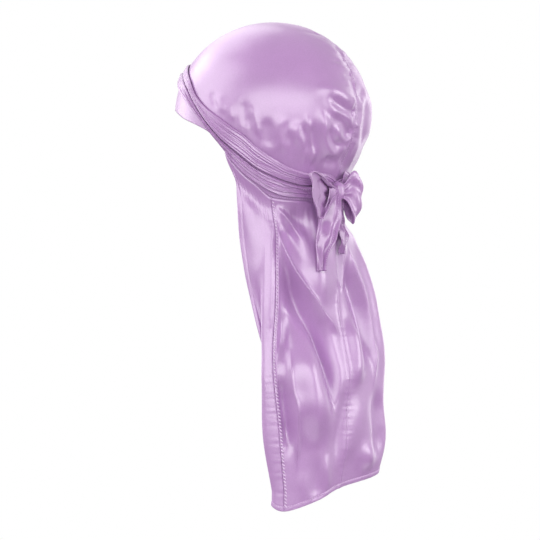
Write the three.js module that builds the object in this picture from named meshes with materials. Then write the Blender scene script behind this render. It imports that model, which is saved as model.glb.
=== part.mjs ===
// A satin durag, shaped as it is worn: a crown of two side panels, two ties that wrap the crown
// and meet in a bow at the back, and a tail of two panels and two gores that hangs below the bow.
// Millimetres, +Z up. The origin is the inside of the crown at its top, where it sits on the head.
// The wearer faces -Y, and the wearer's left is +X.
import * as THREE from 'three';

// Driving sizes of the crown, outside.
const crownHalfWidth = 79;
const crownHalfLength = 97;
const crownHeight = 86; // from the top of the crown down to its widest level
const crownEgg = 0.05; // how much wider the crown is behind the ears than before them

// Cloth, and the clearances between pieces.
const cloth = 1.2;
const seamGap = 0.4; // between two panels that are sewn edge to edge
const layerGap = 0.65; // between a tie and the cloth that it lies on
const tieGap = 0.4; // half the space between two ties that run side by side

// Driving sizes of the tail.
const tailLength = 449; // from the top of the crown down to the lowest point of the hem
const tailHalfWidth = 80;
const tailReach = 100; // how far the tail stands behind the origin
const hangBlend = 34; // length over which the tail leaves the nape
const foldDepth = 7; // height of the tail's deepest fold
const seamValley = 2.6; // depth of the puckered valley along the crown's seam
const valleySpread = 11; // degrees over which that valley runs out on each side
const crownFold = 2.2; // height of the crown's tallest fold
const pleatHeight = 0.9; // height of a tie's pleats where it is gathered
const upperPleats = 0.3; // share of that height on the upper tie, which is drawn smooth

// Driving sizes of the bow.
const knotHalfWidth = 6.5;
const knotHalfHeight = 9;
const knotDepth = 13;
const loopLength = 22;
const loopWidth = 45; // of the right loop, at its far end
const loopSpread = 6; // half the thickness of the right loop
const openLoopLength = 28; // of the left loop, which is turned so that its hollow faces back
const openLoopWidth = 19;
const openLoopSpread = 24; // half the height of the left loop
const loopNeck = 11; // width of a loop where it enters the knot
const loopDroop = 6; // how far a loop's far end hangs below the knot
const loopStandOff = 2; // how far its far end stands behind the knot
const ruffle = 0.8; // depth of the ripples in a loop's edge
const endLength = 62; // of the longer tie end
const shortEndLength = 50;
const endWidth = 17;
const endSpacing = 3.3; // of each tie end from the middle of the knot, where it leaves it

// Places round the head, as azimuths in degrees from the middle of the back, left positive.
const seamAzimuth = 3; // the centre seam behind, a little to the left
const cornerAzimuth = 54; // where a gore is sewn to the main panel of the tail
const earAzimuth = 89; // where the tail's free edge starts
const frontAzimuth = 180;
const frontCross = 26; // half the stretch over which the ties cross on the forehead
const backCross = 16; // half the stretch over which they cross behind
const crossRamp = 12;

// Colours of the satin.
const satinColour = 0xc4a0cf;
const tieColour = 0xb48cc2;

// Turns rows of numbers into records with named columns.
function table(columns, rows) {
  return rows.map((row) => Object.fromEntries(columns.map((name, i) => [name, row[i]])));
}

// The head below the crown's widest level, as shares of the crown's height, width and length.
const lowerHead = table(['drop', 'out', 'back', 'front'], [
  [1.0, 1.0, 1.0, 1.0],
  [1.07, 0.998, 0.997, 0.998],
  [1.21, 0.985, 0.978, 0.99],
  [1.4, 0.955, 0.915, 0.96],
  [1.62, 0.905, 0.8, 0.9],
  [1.77, 0.865, 0.735, 0.85],
  [1.93, 0.825, 0.69, 0.8],
  [2.15, 0.78, 0.655, 0.72],
  [2.7, 0.72, 0.63, 0.6],
]);

// The crown's lower edge, and the ties on one side of the head: the top of the upper tie, the
// line between the ties and the bottom of the lower tie. All are shares of the crown's height.
const edgeLine = table(['azimuth', 'edge', 'top', 'middle', 'bottom'], [
  [-1, 1.98, 1.645, 1.8, 1.945],
  [0, 1.98, 1.65, 1.8, 1.945],
  [28, 1.965, 1.665, 1.81, 1.94],
  [42, 1.955, 1.62, 1.775, 1.93],
  [54, 1.93, 1.53, 1.715, 1.88],
  [66, 1.8, 1.41, 1.63, 1.775],
  [76, 1.69, 1.26, 1.515, 1.66],
  [84, 1.56, 1.165, 1.41, 1.52],
  [89, 1.44, 1.1, 1.34, 1.42],
  [99, 1.24, 0.98, 1.15, 1.215],
  [108, 1.16, 0.85, 0.96, 1.05],
  [121, 1.08, 0.64, 0.74, 0.86],
  [144, 0.955, 0.46, 0.56, 0.68],
  [165, 0.92, 0.42, 0.52, 0.63],
  [180, 0.915, 0.41, 0.51, 0.62],
  [181, 0.915, 0.41, 0.51, 0.62],
]);

// Folds of the crown: each runs from one place to another, given by azimuth and by drop as a
// share of the crown's height. Width is a share of the crown's half width, height of crownFold.
const crownFolds = table(['from', 'fromDrop', 'to', 'toDrop', 'width', 'height'], [
  [97, 0.7, 95, 1.02, 0.05, -1.0],
  [89, 0.8, 88, 1.1, 0.05, 0.5],
  [46, 1.02, 39, 1.6, 0.055, 0.8],
  [28, 0.66, 20, 1.35, 0.07, 0.6],
  [22, 1.0, 12, 1.5, 0.06, -0.5],
  [-30, 0.7, -26, 1.4, 0.07, 0.7],
  [-92, 0.75, -90, 1.08, 0.06, -0.8],
]);

// Sections of the tail by height. The drop is a share of the tail's length, each out a share of
// its half width and each back a share of its reach. The centre seam, the ridge of each half and
// the seam of each gore are its main lines.
const tailSections = table(
  [
    'drop', 'centreOut', 'centreBack', 'leftOut', 'leftBack', 'leftSeamOut', 'leftSeamBack',
    'rightOut', 'rightBack', 'rightSeamOut', 'rightSeamBack',
  ],
  [
    [0.36, 0.04, 0.69, 0.4, 0.6, 0.66, 0.41, 0.4, 0.6, 0.66, 0.41],
    [0.435, 0.04, 0.755, 0.42, 0.63, 0.65, 0.425, 0.43, 0.685, 0.675, 0.46],
    [0.515, 0.05, 0.775, 0.44, 0.665, 0.69, 0.45, 0.53, 0.765, 0.74, 0.52],
    [0.585, 0.05, 0.78, 0.45, 0.685, 0.73, 0.468, 0.6, 0.85, 0.81, 0.55],
    [0.665, 0.07, 0.86, 0.48, 0.745, 0.8, 0.48, 0.65, 0.895, 0.87, 0.6],
    [0.745, 0.075, 0.92, 0.5, 0.8, 0.85, 0.52, 0.68, 0.915, 0.91, 0.62],
    [0.845, 0.1, 0.9, 0.5, 0.82, 0.84, 0.57, 0.7, 0.945, 0.92, 0.64],
    [0.96, 0.11, 0.835, 0.47, 0.775, 0.8, 0.6, 0.6, 0.86, 0.85, 0.62],
  ],
);

// A gore from its seam to the free edge: the knee, the tuck behind it and the edge, each as an
// offset from the seam, out and back, in shares of the tail's half width and reach.
const goreSections = table(
  ['drop', 'kneeOut', 'kneeBack', 'tuckOut', 'tuckBack', 'edgeOut', 'edgeBack'],
  [
    [0.3, 0.07, -0.1, 0.15, -0.2, 0.21, -0.3],
    [0.435, 0.06, -0.1, 0.155, -0.19, 0.2, -0.3],
    [0.515, 0.045, -0.095, 0.11, -0.18, 0.145, -0.275],
    [0.585, 0.05, -0.08, 0.02, -0.15, 0.07, -0.23],
    [0.665, 0.035, -0.1, -0.07, -0.09, -0.02, -0.14],
    [0.745, 0.045, -0.115, -0.07, -0.09, -0.13, -0.03],
    [0.845, 0.06, -0.15, -0.06, -0.12, -0.13, -0.05],
    [0.96, 0.045, -0.11, -0.06, -0.09, -0.13, -0.03],
  ],
);

// The hem, as a share of the tail's length at each line of a section, from the right free edge
// to the left one.
const hemLine = table(['line', 'drop'], [
  [0, 0.9], [1, 0.9], [2, 0.9], [3, 0.916], [4, 0.942], [5, 0.96],
  [6, 0.982], [7, 1.0], [8, 0.99], [9, 0.985], [10, 0.985],
]);

// Folds of the tail. Across is 0 on the centre seam, 1 on the left gore's seam and -1 on the
// right one's. Drops are shares of the tail's length, widths of its half width, heights of
// foldDepth.
const tailFolds = table(['from', 'fromDrop', 'to', 'toDrop', 'width', 'height'], [
  [0.98, 0.37, 0.48, 0.5, 0.1, 0.7],
  [0.8, 0.43, 0.48, 0.6, 0.15, -0.9],
  [0.92, 0.48, 0.12, 0.84, 0.17, -1.0],
  [0.2, 0.42, 0.26, 0.68, 0.18, 0.6],
  [0.86, 0.62, 0.72, 1.0, 0.14, -0.6],
  [0.46, 0.74, 0.42, 1.05, 0.18, 0.7],
  [-0.1, 0.42, -0.12, 0.62, 0.13, -0.7],
  [-0.26, 0.44, -0.36, 0.9, 0.15, -1.0],
  [-0.78, 0.5, -0.8, 0.98, 0.17, -0.8],
]);

const radians = THREE.MathUtils.degToRad;
const mix = THREE.MathUtils.lerp;
const smooth = (x) => THREE.MathUtils.smoothstep(x, 0, 1);

// A smooth curve through one column of a table that never overshoots its rows.
function column(rows, key, name) {
  const at = rows.map((row) => row[key]);
  const value = rows.map((row) => row[name]);
  const last = at.length - 1;
  const rise = at.slice(1).map((x, i) => (value[i + 1] - value[i]) / (x - at[i]));
  const slope = at.map((x, i) => {
    if (i === 0 || i === last) return rise[Math.min(i, last - 1)];
    const before = rise[i - 1];
    const after = rise[i];
    return before * after > 0 ? (2 * before * after) / (before + after) : 0;
  });
  return (x) => {
    let i = 0;
    while (i < last - 1 && x > at[i + 1]) i += 1;
    const span = at[i + 1] - at[i];
    const t = THREE.MathUtils.clamp((x - at[i]) / span, 0, 1);
    const even = value[i] * (1 + 2 * t) * (1 - t) ** 2 + value[i + 1] * (3 - 2 * t) * t ** 2;
    return even + span * (slope[i] * t * (1 - t) ** 2 - slope[i + 1] * (1 - t) * t ** 2);
  };
}

// All the columns of a table, each as such a curve.
function curves(rows, key) {
  const names = Object.keys(rows[0]).filter((name) => name !== key);
  return Object.fromEntries(names.map((name) => [name, column(rows, key, name)]));
}

const lower = curves(lowerHead, 'drop');
const line = curves(edgeLine, 'azimuth');
const sections = curves(tailSections, 'drop');
const gore = curves(goreSections, 'drop');
const hem = column(hemLine, 'line', 'drop');

// Half width and half length of the head at a drop below the crown's top.
function headHalves(drop, behind) {
  const share = drop / crownHeight;
  if (share < 1) {
    const round = Math.sqrt(Math.max(0, 1 - (1 - share) ** 2));
    return [crownHalfWidth * round, crownHalfLength * round];
  }
  return [
    crownHalfWidth * lower.out(share),
    crownHalfLength * (behind ? lower.back(share) : lower.front(share)),
  ];
}

// The outward direction of the head's surface.
function headNormal(azimuth, drop) {
  const sine = Math.sin(radians(azimuth));
  const cosine = Math.cos(radians(azimuth));
  const flat = new THREE.Vector2(sine / crownHalfWidth, cosine / crownHalfLength).normalize();
  const share = drop / crownHeight;
  if (share < 1) {
    const reach = sine * flat.x * crownHalfWidth + cosine * flat.y * crownHalfLength;
    const down = Math.sqrt(1 - (1 - share) ** 2) * crownHeight;
    return new THREE.Vector3(flat.x * down, flat.y * down, reach * (1 - share)).normalize();
  }
  const step = 1;
  const [wide, long] = headHalves(drop, cosine > 0);
  const [wider, longer] = headHalves(drop + step, cosine > 0);
  const slope = (sine * flat.x * (wider - wide) + cosine * flat.y * (longer - long)) / step;
  return new THREE.Vector3(flat.x, flat.y, slope).normalize();
}

const foldEnd = 0.25; // share of a fold's length over which it runs out at each end

// A fold's height at a place, from 0 to 1 on its line. It falls off to the sides and at its ends.
function foldBump(fold, across, drop, acrossScale, dropScale, width) {
  const from = (x, y) => new THREE.Vector2(
    (x - fold.from) * acrossScale,
    (y - fold.fromDrop) * dropScale,
  );
  const run = from(fold.to, fold.toDrop);
  const place = from(across, drop);
  const along = place.dot(run) / run.lengthSq();
  const aside = Math.abs(place.cross(run)) / run.length() / (fold.width * width);
  const ends = smooth(along / foldEnd) * smooth((1 - along) / foldEnd);
  return ends * Math.exp(-(aside ** 2));
}

const valleyTop = 0.1; // drop at which the seam's valley starts, as a share of the crown's height
const valleyRun = 0.3; // drop over which it deepens
const pressedRun = 0.16; // drop above the ties over which they press the cloth flat

// Height of the crown's cloth over the plain head: the valley of the seam, and the folds. The
// ties press both flat.
function crownRelief(azimuth, drop) {
  const share = drop / crownHeight;
  const aside = Math.abs(azimuth - seamAzimuth) / valleySpread;
  const valley = -seamValley * Math.exp(-(aside ** 2)) * smooth((share - valleyTop) / valleyRun);
  const spread = radians(crownHalfWidth);
  const height = crownFolds.reduce((sum, fold) => sum
    + crownFold * fold.height
    * foldBump(fold, azimuth, share, spread, crownHeight, crownHalfWidth), valley);
  return height * smooth((line.top(Math.abs(azimuth)) - share) / pressedRun);
}

// A point of the crown's outer face, or lifted off it, with its outward direction.
function crownPoint(azimuth, drop, lift = 0) {
  const sine = Math.sin(radians(azimuth));
  const cosine = Math.cos(radians(azimuth));
  const [wide, long] = headHalves(drop, cosine > 0);
  const normal = headNormal(azimuth, drop);
  const out = wide * sine * (1 + crownEgg * cosine);
  const point = new THREE.Vector3(out, long * cosine, cloth - drop);
  return { point: point.addScaledVector(normal, lift + crownRelief(azimuth, drop)), normal };
}

// Drop below the crown's top at a level, and back: levels are even steps along the cloth.
const quarter = Math.PI / 2;
const dropAt = (level) => {
  const share = level < 1 ? 1 - Math.cos(level * quarter) : 1 + (level - 1) * quarter;
  return share * crownHeight;
};
const levelAt = (drop) => {
  const share = drop / crownHeight;
  return share < 1 ? Math.acos(1 - share) / quarter : 1 + (share - 1) / quarter;
};

const crownEdge = (azimuth) => crownHeight * line.edge(Math.abs(azimuth));

// Drop at which the tail starts, so that its top keeps the seam's gap from the crown's edge also
// where the edge climbs.
function tailTop(azimuth) {
  const climb = (crownEdge(azimuth + 1) - crownEdge(azimuth - 1)) / radians(2 * crownHalfWidth);
  return crownEdge(azimuth) + seamGap * Math.hypot(1, climb);
}

// A sheet of cloth as one closed solid. The outer face is a grid of points, face(i, j) gives
// each with its outward direction, and the wall goes inwards from it. A pole joins the first row
// in one point, and a ring joins the last column to the first.
function clothSolid(columns, rows, face, { pole = false, ring = false, wall = cloth } = {}) {
  const across = ring ? columns : columns + 1;
  const positions = [];
  for (const inner of [false, true]) {
    for (let j = 0; j <= rows; j += 1) {
      for (let i = 0; i < across; i += 1) {
        const { point, normal } = face(i, j);
        const place = inner ? point.clone().addScaledVector(normal, -wall) : point;
        positions.push(place.x, place.y, place.z);
      }
    }
  }
  const layer = across * (rows + 1);
  const at = (i, j, inner) => (pole && j === 0 ? 0 : j * across + (i % across)) + (inner ? layer : 0);
  const triangles = [];
  const quad = (a, b, c, d) => {
    for (const corners of [[a, b, c], [a, c, d]]) {
      if (new Set(corners).size === 3) triangles.push(...corners);
    }
  };
  for (let j = 0; j < rows; j += 1) {
    for (let i = 0; i < columns; i += 1) {
      quad(at(i, j, 0), at(i, j + 1, 0), at(i + 1, j + 1, 0), at(i + 1, j, 0));
      quad(at(i, j, 1), at(i + 1, j, 1), at(i + 1, j + 1, 1), at(i, j + 1, 1));
    }
  }
  for (let i = 0; i < columns; i += 1) {
    quad(at(i, 0, 0), at(i + 1, 0, 0), at(i + 1, 0, 1), at(i, 0, 1));
    quad(at(i + 1, rows, 0), at(i, rows, 0), at(i, rows, 1), at(i + 1, rows, 1));
  }
  for (let j = 0; j < rows && !ring; j += 1) {
    quad(at(0, j + 1, 0), at(0, j, 0), at(0, j, 1), at(0, j + 1, 1));
    quad(at(columns, j, 0), at(columns, j + 1, 0), at(columns, j + 1, 1), at(columns, j, 1));
  }
  return tidySolid(positions, triangles);
}

// Drops the points that no triangle uses and turns the solid so that its faces point out.
function tidySolid(positions, triangles) {
  const kept = new Map();
  const places = [];
  const index = triangles.map((old) => {
    if (!kept.has(old)) {
      kept.set(old, kept.size);
      places.push(...positions.slice(old * 3, old * 3 + 3));
    }
    return kept.get(old);
  });
  const corner = (i) => new THREE.Vector3().fromArray(places, index[i] * 3);
  let volume = 0;
  for (let i = 0; i < index.length; i += 3) {
    volume += corner(i).dot(corner(i + 1).cross(corner(i + 2)));
  }
  if (volume < 0) index.reverse();
  const geometry = new THREE.BufferGeometry();
  geometry.setAttribute('position', new THREE.Float32BufferAttribute(places, 3));
  geometry.setIndex(index);
  geometry.computeVertexNormals();
  return geometry;
}

// Columns of a panel: one stretch for the tail's main panel, one for the gore, one to the front.
const mainColumns = 11;
const goreColumns = 7;
const frontColumns = 8;
const crownRows = 9; // above the ties
const coveredRows = 3; // below the top of the ties
const tailRows = 22;

// Azimuth of the crown's columns. Side is 1 for the left and -1 for the right.
function azimuthOf(index, side) {
  const corner = side * cornerAzimuth;
  const ear = side * earAzimuth;
  const pastCorner = index - mainColumns;
  const pastEar = pastCorner - goreColumns;
  if (pastCorner <= 0) return mix(seamAzimuth, corner, index / mainColumns);
  if (pastEar <= 0) return mix(corner, ear, pastCorner / goreColumns);
  return mix(ear, side * frontAzimuth, pastEar / frontColumns);
}

// One side of the crown, from the centre seam over the top down to the lower edge.
function crownPanel(side) {
  const columns = mainColumns + goreColumns + frontColumns;
  return clothSolid(columns, crownRows + coveredRows, (i, j) => {
    const azimuth = azimuthOf(i, side);
    const tieLevel = levelAt(crownHeight * line.top(Math.abs(azimuth)));
    const edgeLevel = levelAt(crownEdge(azimuth));
    const level = j < crownRows
      ? (tieLevel * j) / crownRows
      : mix(tieLevel, edgeLevel, (j - crownRows) / coveredRows);
    const { point, normal } = crownPoint(azimuth, dropAt(level));
    point.x += (side * seamGap) / 2;
    return { point, normal };
  }, { pole: true });
}

const quarterTurn = frontAzimuth / 2;

// How much a tie is the upper one at an azimuth: 1 on its own side of the head, 0 on the other.
function upperShare(azimuth, side) {
  const turn = azimuth * side;
  const behind = smooth((turn + backCross) / (2 * backCross));
  const before = smooth((frontAzimuth - Math.abs(turn) + frontCross) / (2 * frontCross));
  if (Math.abs(turn) < quarterTurn) return behind;
  return turn > 0 ? before : 1 - before;
}

// 1 where the ties cross, on the forehead and behind, and 0 where they run side by side.
function crossing(azimuth) {
  const away = Math.abs(azimuth);
  const behind = smooth((backCross + crossRamp - away) / crossRamp);
  const before = smooth((away - frontAzimuth + frontCross + crossRamp) / crossRamp);
  return Math.max(behind, before);
}

const tieColumns = 52;
const tieRows = 4;
const pleats = 2;

// A tie, wrapped once round the crown. The outer one passes over the other where they cross.
function tieWrap(side, isOuter) {
  return clothSolid(tieColumns, tieRows, (i, j) => {
    const azimuth = mix(-frontAzimuth, frontAzimuth, i / tieColumns);
    const away = Math.abs(azimuth);
    const upper = upperShare(azimuth, side);
    const top = crownHeight * mix(line.middle(away), line.top(away), upper) + tieGap;
    const bottom = crownHeight * mix(line.bottom(away), line.middle(away), upper) - tieGap;
    const share = j / tieRows;
    const cross = crossing(azimuth);
    const gathered = pleatHeight * (1 - cross) * mix(1, upperPleats, upper);
    const pleat = gathered * Math.sin(share * pleats * Math.PI) ** 2;
    const over = isOuter ? cross * (cloth + layerGap) : 0;
    return crownPoint(azimuth, mix(top, bottom, share), cloth + layerGap + over + pleat);
  }, { ring: true });
}

// The lines of a tail section at a drop, from the right free edge to the left one, as out and back.
function tailLines(drop) {
  const share = drop / tailLength;
  const at = (name, side) => new THREE.Vector3(
    side * tailHalfWidth * sections[`${name}Out`](share),
    tailReach * sections[`${name}Back`](share),
    0,
  );
  const offset = (name, side) => new THREE.Vector3(
    side * tailHalfWidth * gore[`${name}Out`](share),
    tailReach * gore[`${name}Back`](share),
    0,
  );
  const half = (name, side) => {
    const seam = at(`${name}Seam`, side);
    const parts = ['knee', 'tuck', 'edge'].map((part) => offset(part, side).add(seam));
    return [at(name, side), seam, ...parts];
  };
  return [...half('right', -1).reverse(), at('centre', 1), ...half('left', 1)];
}

const centreLine = 5; // the centre seam's place among the lines of a section
const seamLine = 2; // a gore's seam, counted from the centre seam
const edgeLines = 5; // the free edge, counted from the centre seam
const goreLineWidth = 11; // the cloth between two lines of a gore, beside its seam
const flatSeam = 0.3; // how far from a gore's seam the folds start, in lines

// A point of the tail's outer face without its folds. The place is counted in lines from the
// centre seam, left positive, and down is 0 at the top edge and 1 at the hem.
function plainTail(place, down) {
  const side = place < 0 ? -1 : 1;
  const away = Math.abs(place);
  const azimuth = away <= seamLine
    ? mix(seamAzimuth, side * cornerAzimuth, away / seamLine)
    : mix(side * cornerAzimuth, side * earAzimuth, (away - seamLine) / (edgeLines - seamLine));
  const top = tailTop(azimuth);
  const drop = mix(top, tailLength * hem(centreLine + place), down);
  const spline = new THREE.CatmullRomCurve3(tailLines(drop), false, 'catmullrom', 0.5);
  const hung = spline.getPoint((centreLine + place) / (2 * centreLine));
  const onHead = crownPoint(azimuth, drop).point;
  const free = smooth((drop - top) / hangBlend);
  return new THREE.Vector3(mix(onHead.x, hung.x, free), mix(onHead.y, hung.y, free), cloth - drop);
}

// The tail with its folds, and its outward direction.
function tailPoint(place, down) {
  const step = 0.01;
  const point = plainTail(place, down);
  const inner = Math.max(place - step, -edgeLines);
  const outer = Math.min(place + step, edgeLines);
  const across = plainTail(outer, down).sub(plainTail(inner, down));
  const below = Math.min(down + step, 1);
  const above = Math.max(down - step, 0);
  const along = plainTail(place, below).sub(plainTail(place, above));
  const normal = across.cross(along).normalize();
  const share = (cloth - point.z) / tailLength;
  const folds = tailFolds.reduce((sum, fold) => sum + fold.height
    * foldBump(fold, place / seamLine, share, tailHalfWidth, tailLength, tailHalfWidth), 0);
  const within = smooth((seamLine - Math.abs(place)) / flatSeam);
  const hung = smooth((down * tailLength) / (2 * hangBlend));
  return { point: point.addScaledVector(normal, foldDepth * folds * within * hung), normal };
}

// Half of the tail behind, from the centre seam to the gore's seam.
function tailPanel(side) {
  return clothSolid(mainColumns, tailRows, (i, j) => {
    const { point, normal } = tailPoint((side * seamLine * i) / mainColumns, j / tailRows);
    point.x += (side * seamGap) / 2;
    return { point, normal };
  });
}

// A side piece of the tail, from its seam to the free edge, which tucks behind lower down.
function tailGore(side) {
  const start = seamLine + seamGap / goreLineWidth;
  return clothSolid(goreColumns, tailRows, (i, j) => {
    const { point, normal } = tailPoint(side * mix(start, edgeLines, i / goreColumns), j / tailRows);
    point.x += (side * seamGap) / 2;
    return { point, normal };
  });
}

// The bow sits on the outer tie, over the centre seam, half its height below the ties' middle.
const knotDrop = (crownHeight * (line.top(0) + line.bottom(0)) + knotHalfHeight) / 2;
const knotSeat = crownPoint(seamAzimuth, knotDrop, 2 * (cloth + layerGap) + pleatHeight).point;
const knotCentre = knotSeat.clone().add(new THREE.Vector3(0, knotDepth / 2, 0));
const knotDents = 6;
const dentDepth = 0.06; // as a share of the knot's radius
const knotSquare = 0.8; // 1 would be round, and less is squarer

// The knot: a wound lump with dents down its sides.
function bowKnot() {
  const geometry = new THREE.SphereGeometry(1, 18, 12);
  const place = geometry.getAttribute('position');
  const point = new THREE.Vector3();
  for (let i = 0; i < place.count; i += 1) {
    point.fromBufferAttribute(place, i);
    const box = new THREE.Vector3(point.x, point.z, point.y);
    const turn = Math.atan2(box.x, box.y);
    const wound = 1 - dentDepth * (1 - box.z ** 2) * (1 + Math.cos(turn * knotDents));
    box.set(
      knotHalfWidth * Math.sign(box.x) * Math.abs(box.x) ** knotSquare * wound,
      (knotDepth / 2) * box.y * wound,
      knotHalfHeight * Math.sign(box.z) * Math.abs(box.z) ** knotSquare,
    );
    place.setXYZ(i, knotCentre.x + box.x, knotCentre.y + box.y, knotCentre.z + box.z);
  }
  return outwards(geometry);
}

// A closed three.js shape as one solid with merged corners.
function outwards(geometry) {
  const positions = [];
  const keys = new Map();
  const place = geometry.getAttribute('position');
  const ids = [];
  for (let i = 0; i < place.count; i += 1) {
    const key = [place.getX(i), place.getY(i), place.getZ(i)].map((x) => x.toFixed(3)).join();
    if (!keys.has(key)) {
      keys.set(key, keys.size);
      positions.push(place.getX(i), place.getY(i), place.getZ(i));
    }
    ids.push(keys.get(key));
  }
  const triangles = [];
  const index = geometry.getIndex().array;
  for (let i = 0; i < index.length; i += 3) {
    const corners = [ids[index[i]], ids[index[i + 1]], ids[index[i + 2]]];
    if (new Set(corners).size === 3) triangles.push(...corners);
  }
  return tidySolid(positions, triangles);
}

const loopColumns = 20;
const loopRows = 6;
const loopRoot = 0.35; // share of a loop's spread that is left beside the knot
const loopFlare = 1.15; // how soon a loop reaches its full width
const loopRound = 0.2; // how much further its middle reaches than its edges
const ripples = 3;

// A loop of the bow: a band that leaves the knot, turns back at its far end and comes home.
// Out is the way that the loop points, spread the way that its hollow opens from the middle,
// and width the way that the band is wide, of which the share before lies ahead of the middle.
function bowLoop({ out, spread, width, length, halfSpread, neck, far, before, ripple }) {
  const origin = knotCentre.clone().addScaledVector(out, knotHalfWidth + seamGap);
  const lean = new THREE.Vector3(0, loopStandOff, -loopDroop);
  const face = (along, share) => {
    const turn = mix(-1, 1, along);
    const reach = Math.cos(turn * quarter);
    const opened = halfSpread * mix(loopRoot, 1, reach);
    const side = Math.sin(turn * Math.PI) * opened + turn * 2 * cloth;
    const wide = mix(neck, far, smooth(reach * loopFlare));
    const rounded = 1 - loopRound * (2 * share - 1) ** 2;
    const wave = ripple * reach * Math.sin((2 * ripples * along + share) * Math.PI);
    return origin.clone()
      .addScaledVector(out, length * reach * rounded)
      .addScaledVector(spread, side + wave)
      .addScaledVector(width, share * wide - mix(neck / 2, wide * before, reach))
      .addScaledVector(lean, reach);
  };
  return clothSolid(loopColumns, loopRows, (i, j) => {
    const along = i / loopColumns;
    const share = j / loopRows;
    return { point: face(along, share), normal: sheetNormal(face, along, share) };
  });
}

// The direction across a sheet given by two shares.
function sheetNormal(face, along, share) {
  const step = 0.01;
  const ahead = face(Math.min(along + step, 1), share).sub(face(Math.max(along - step, 0), share));
  const aside = face(along, Math.min(share + step, 1)).sub(face(along, Math.max(share - step, 0)));
  return ahead.cross(aside).normalize();
}

const endColumns = 8;
const endRows = 12;
const endNeck = 0.4; // width of a tie end at the knot, as a share of its full width
const endTip = 0.5; // width of its tip
const endTaper = 0.3; // share of its length over which it narrows to the tip
const endClear = 3.5 * cloth; // how far it stands off the tail, with its creases

// A free end of a tie, which falls from the knot and lies on the tail.
function tieEnd({ length, across, swing, width, twist }) {
  const top = knotCentre.z - knotHalfHeight - seamGap;
  const start = tailTop(seamAzimuth);
  const face = (down, share) => {
    const place = across + swing * down;
    const drop = cloth - top + length * down;
    const hung = (drop - start) / (tailLength * hem(centreLine + place) - start);
    const { point, normal } = tailPoint(place, Math.max(hung, 0));
    const free = smooth(down * 1.5);
    const taper = mix(1, endTip, smooth((down - 1) / endTaper + 1));
    const wide = width * mix(endNeck, 1, smooth(down * 3)) * taper;
    const turn = twist * (1 - down);
    const out = new THREE.Vector3(normal.x * free, normal.y, 0).normalize();
    const along = new THREE.Vector3(out.y, -out.x, 0);
    const clear = endClear + (Math.abs(Math.sin(turn)) * wide) / 2;
    const middle = point.addScaledVector(out, clear).setZ(top - length * down);
    middle.y = Math.max(middle.y, mix(knotCentre.y, middle.y, free));
    middle.x = mix(knotCentre.x + Math.sign(swing) * endSpacing, middle.x, smooth(down * 2));
    const crease = cloth * Math.cos((share - 0.5) * 6 * quarter) * smooth(down * 4);
    return middle
      .addScaledVector(along, Math.cos(turn) * (share - 0.5) * wide)
      .addScaledVector(out, Math.sin(turn) * (share - 0.5) * wide + crease);
  };
  return clothSolid(endRows, endColumns, (i, j) => {
    const down = i / endRows;
    const share = j / endColumns;
    return { point: face(down, share), normal: sheetNormal(face, down, share).negate() };
  });
}

// A named mesh of satin.
function piece(name, geometry, colour) {
  const material = new THREE.MeshStandardMaterial({ color: colour, roughness: 0.4, metalness: 0 });
  const mesh = new THREE.Mesh(geometry, material);
  mesh.name = name;
  return mesh;
}

const upwards = new THREE.Vector3(0, 0, 1);

const durag = new THREE.Group();
durag.add(
  piece('crown_panel_left', crownPanel(1), satinColour),
  piece('crown_panel_right', crownPanel(-1), satinColour),
  piece('tie_wrap_left', tieWrap(1, false), tieColour),
  piece('tie_wrap_right', tieWrap(-1, true), tieColour),
  piece('tail_panel_left', tailPanel(1), satinColour),
  piece('tail_panel_right', tailPanel(-1), satinColour),
  piece('tail_gore_left', tailGore(1), satinColour),
  piece('tail_gore_right', tailGore(-1), satinColour),
  piece('bow_knot', bowKnot(), tieColour),
  piece('bow_loop_left', bowLoop({
    out: new THREE.Vector3(0.97, -0.24, 0),
    spread: new THREE.Vector3(0, 0.26, 0.97),
    width: new THREE.Vector3(0.24, 0.97, -0.05),
    length: openLoopLength,
    halfSpread: openLoopSpread,
    neck: loopNeck * 0.8,
    far: openLoopWidth,
    before: 0.25,
    ripple: ruffle * 1.5,
  }), tieColour),
  piece('bow_loop_right', bowLoop({
    out: new THREE.Vector3(-0.97, 0.24, 0),
    spread: new THREE.Vector3(0.24, 0.97, 0),
    width: upwards,
    length: loopLength,
    halfSpread: loopSpread,
    neck: loopNeck,
    far: loopWidth,
    before: 0.5,
    ripple: ruffle,
  }), tieColour),
  piece('tie_end_left', tieEnd({
    length: endLength, across: 0.15, swing: 0.6, width: endWidth, twist: 0.8,
  }), tieColour),
  piece('tie_end_right', tieEnd({
    length: shortEndLength, across: -0.3, swing: -0.15, width: endWidth * 0.8, twist: -0.5,
  }), tieColour),
);

export default durag;
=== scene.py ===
"""A lilac satin durag as it is worn: crown, wrapped ties, bow and long tail.

Lengths are metres, +Z is up, the wearer faces -Y and the wearer's left is +X. The origin is the
inside of the crown at its top. Drops are measured down from there. Places round the head are
azimuths in degrees from the middle of the back, left positive.
"""

from __future__ import annotations

import logging
import math
from dataclasses import dataclass
from enum import Enum
from functools import cached_property
from typing import Callable, Sequence

import bmesh
import bpy
import numpy as np
from mathutils import Matrix, Vector

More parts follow.
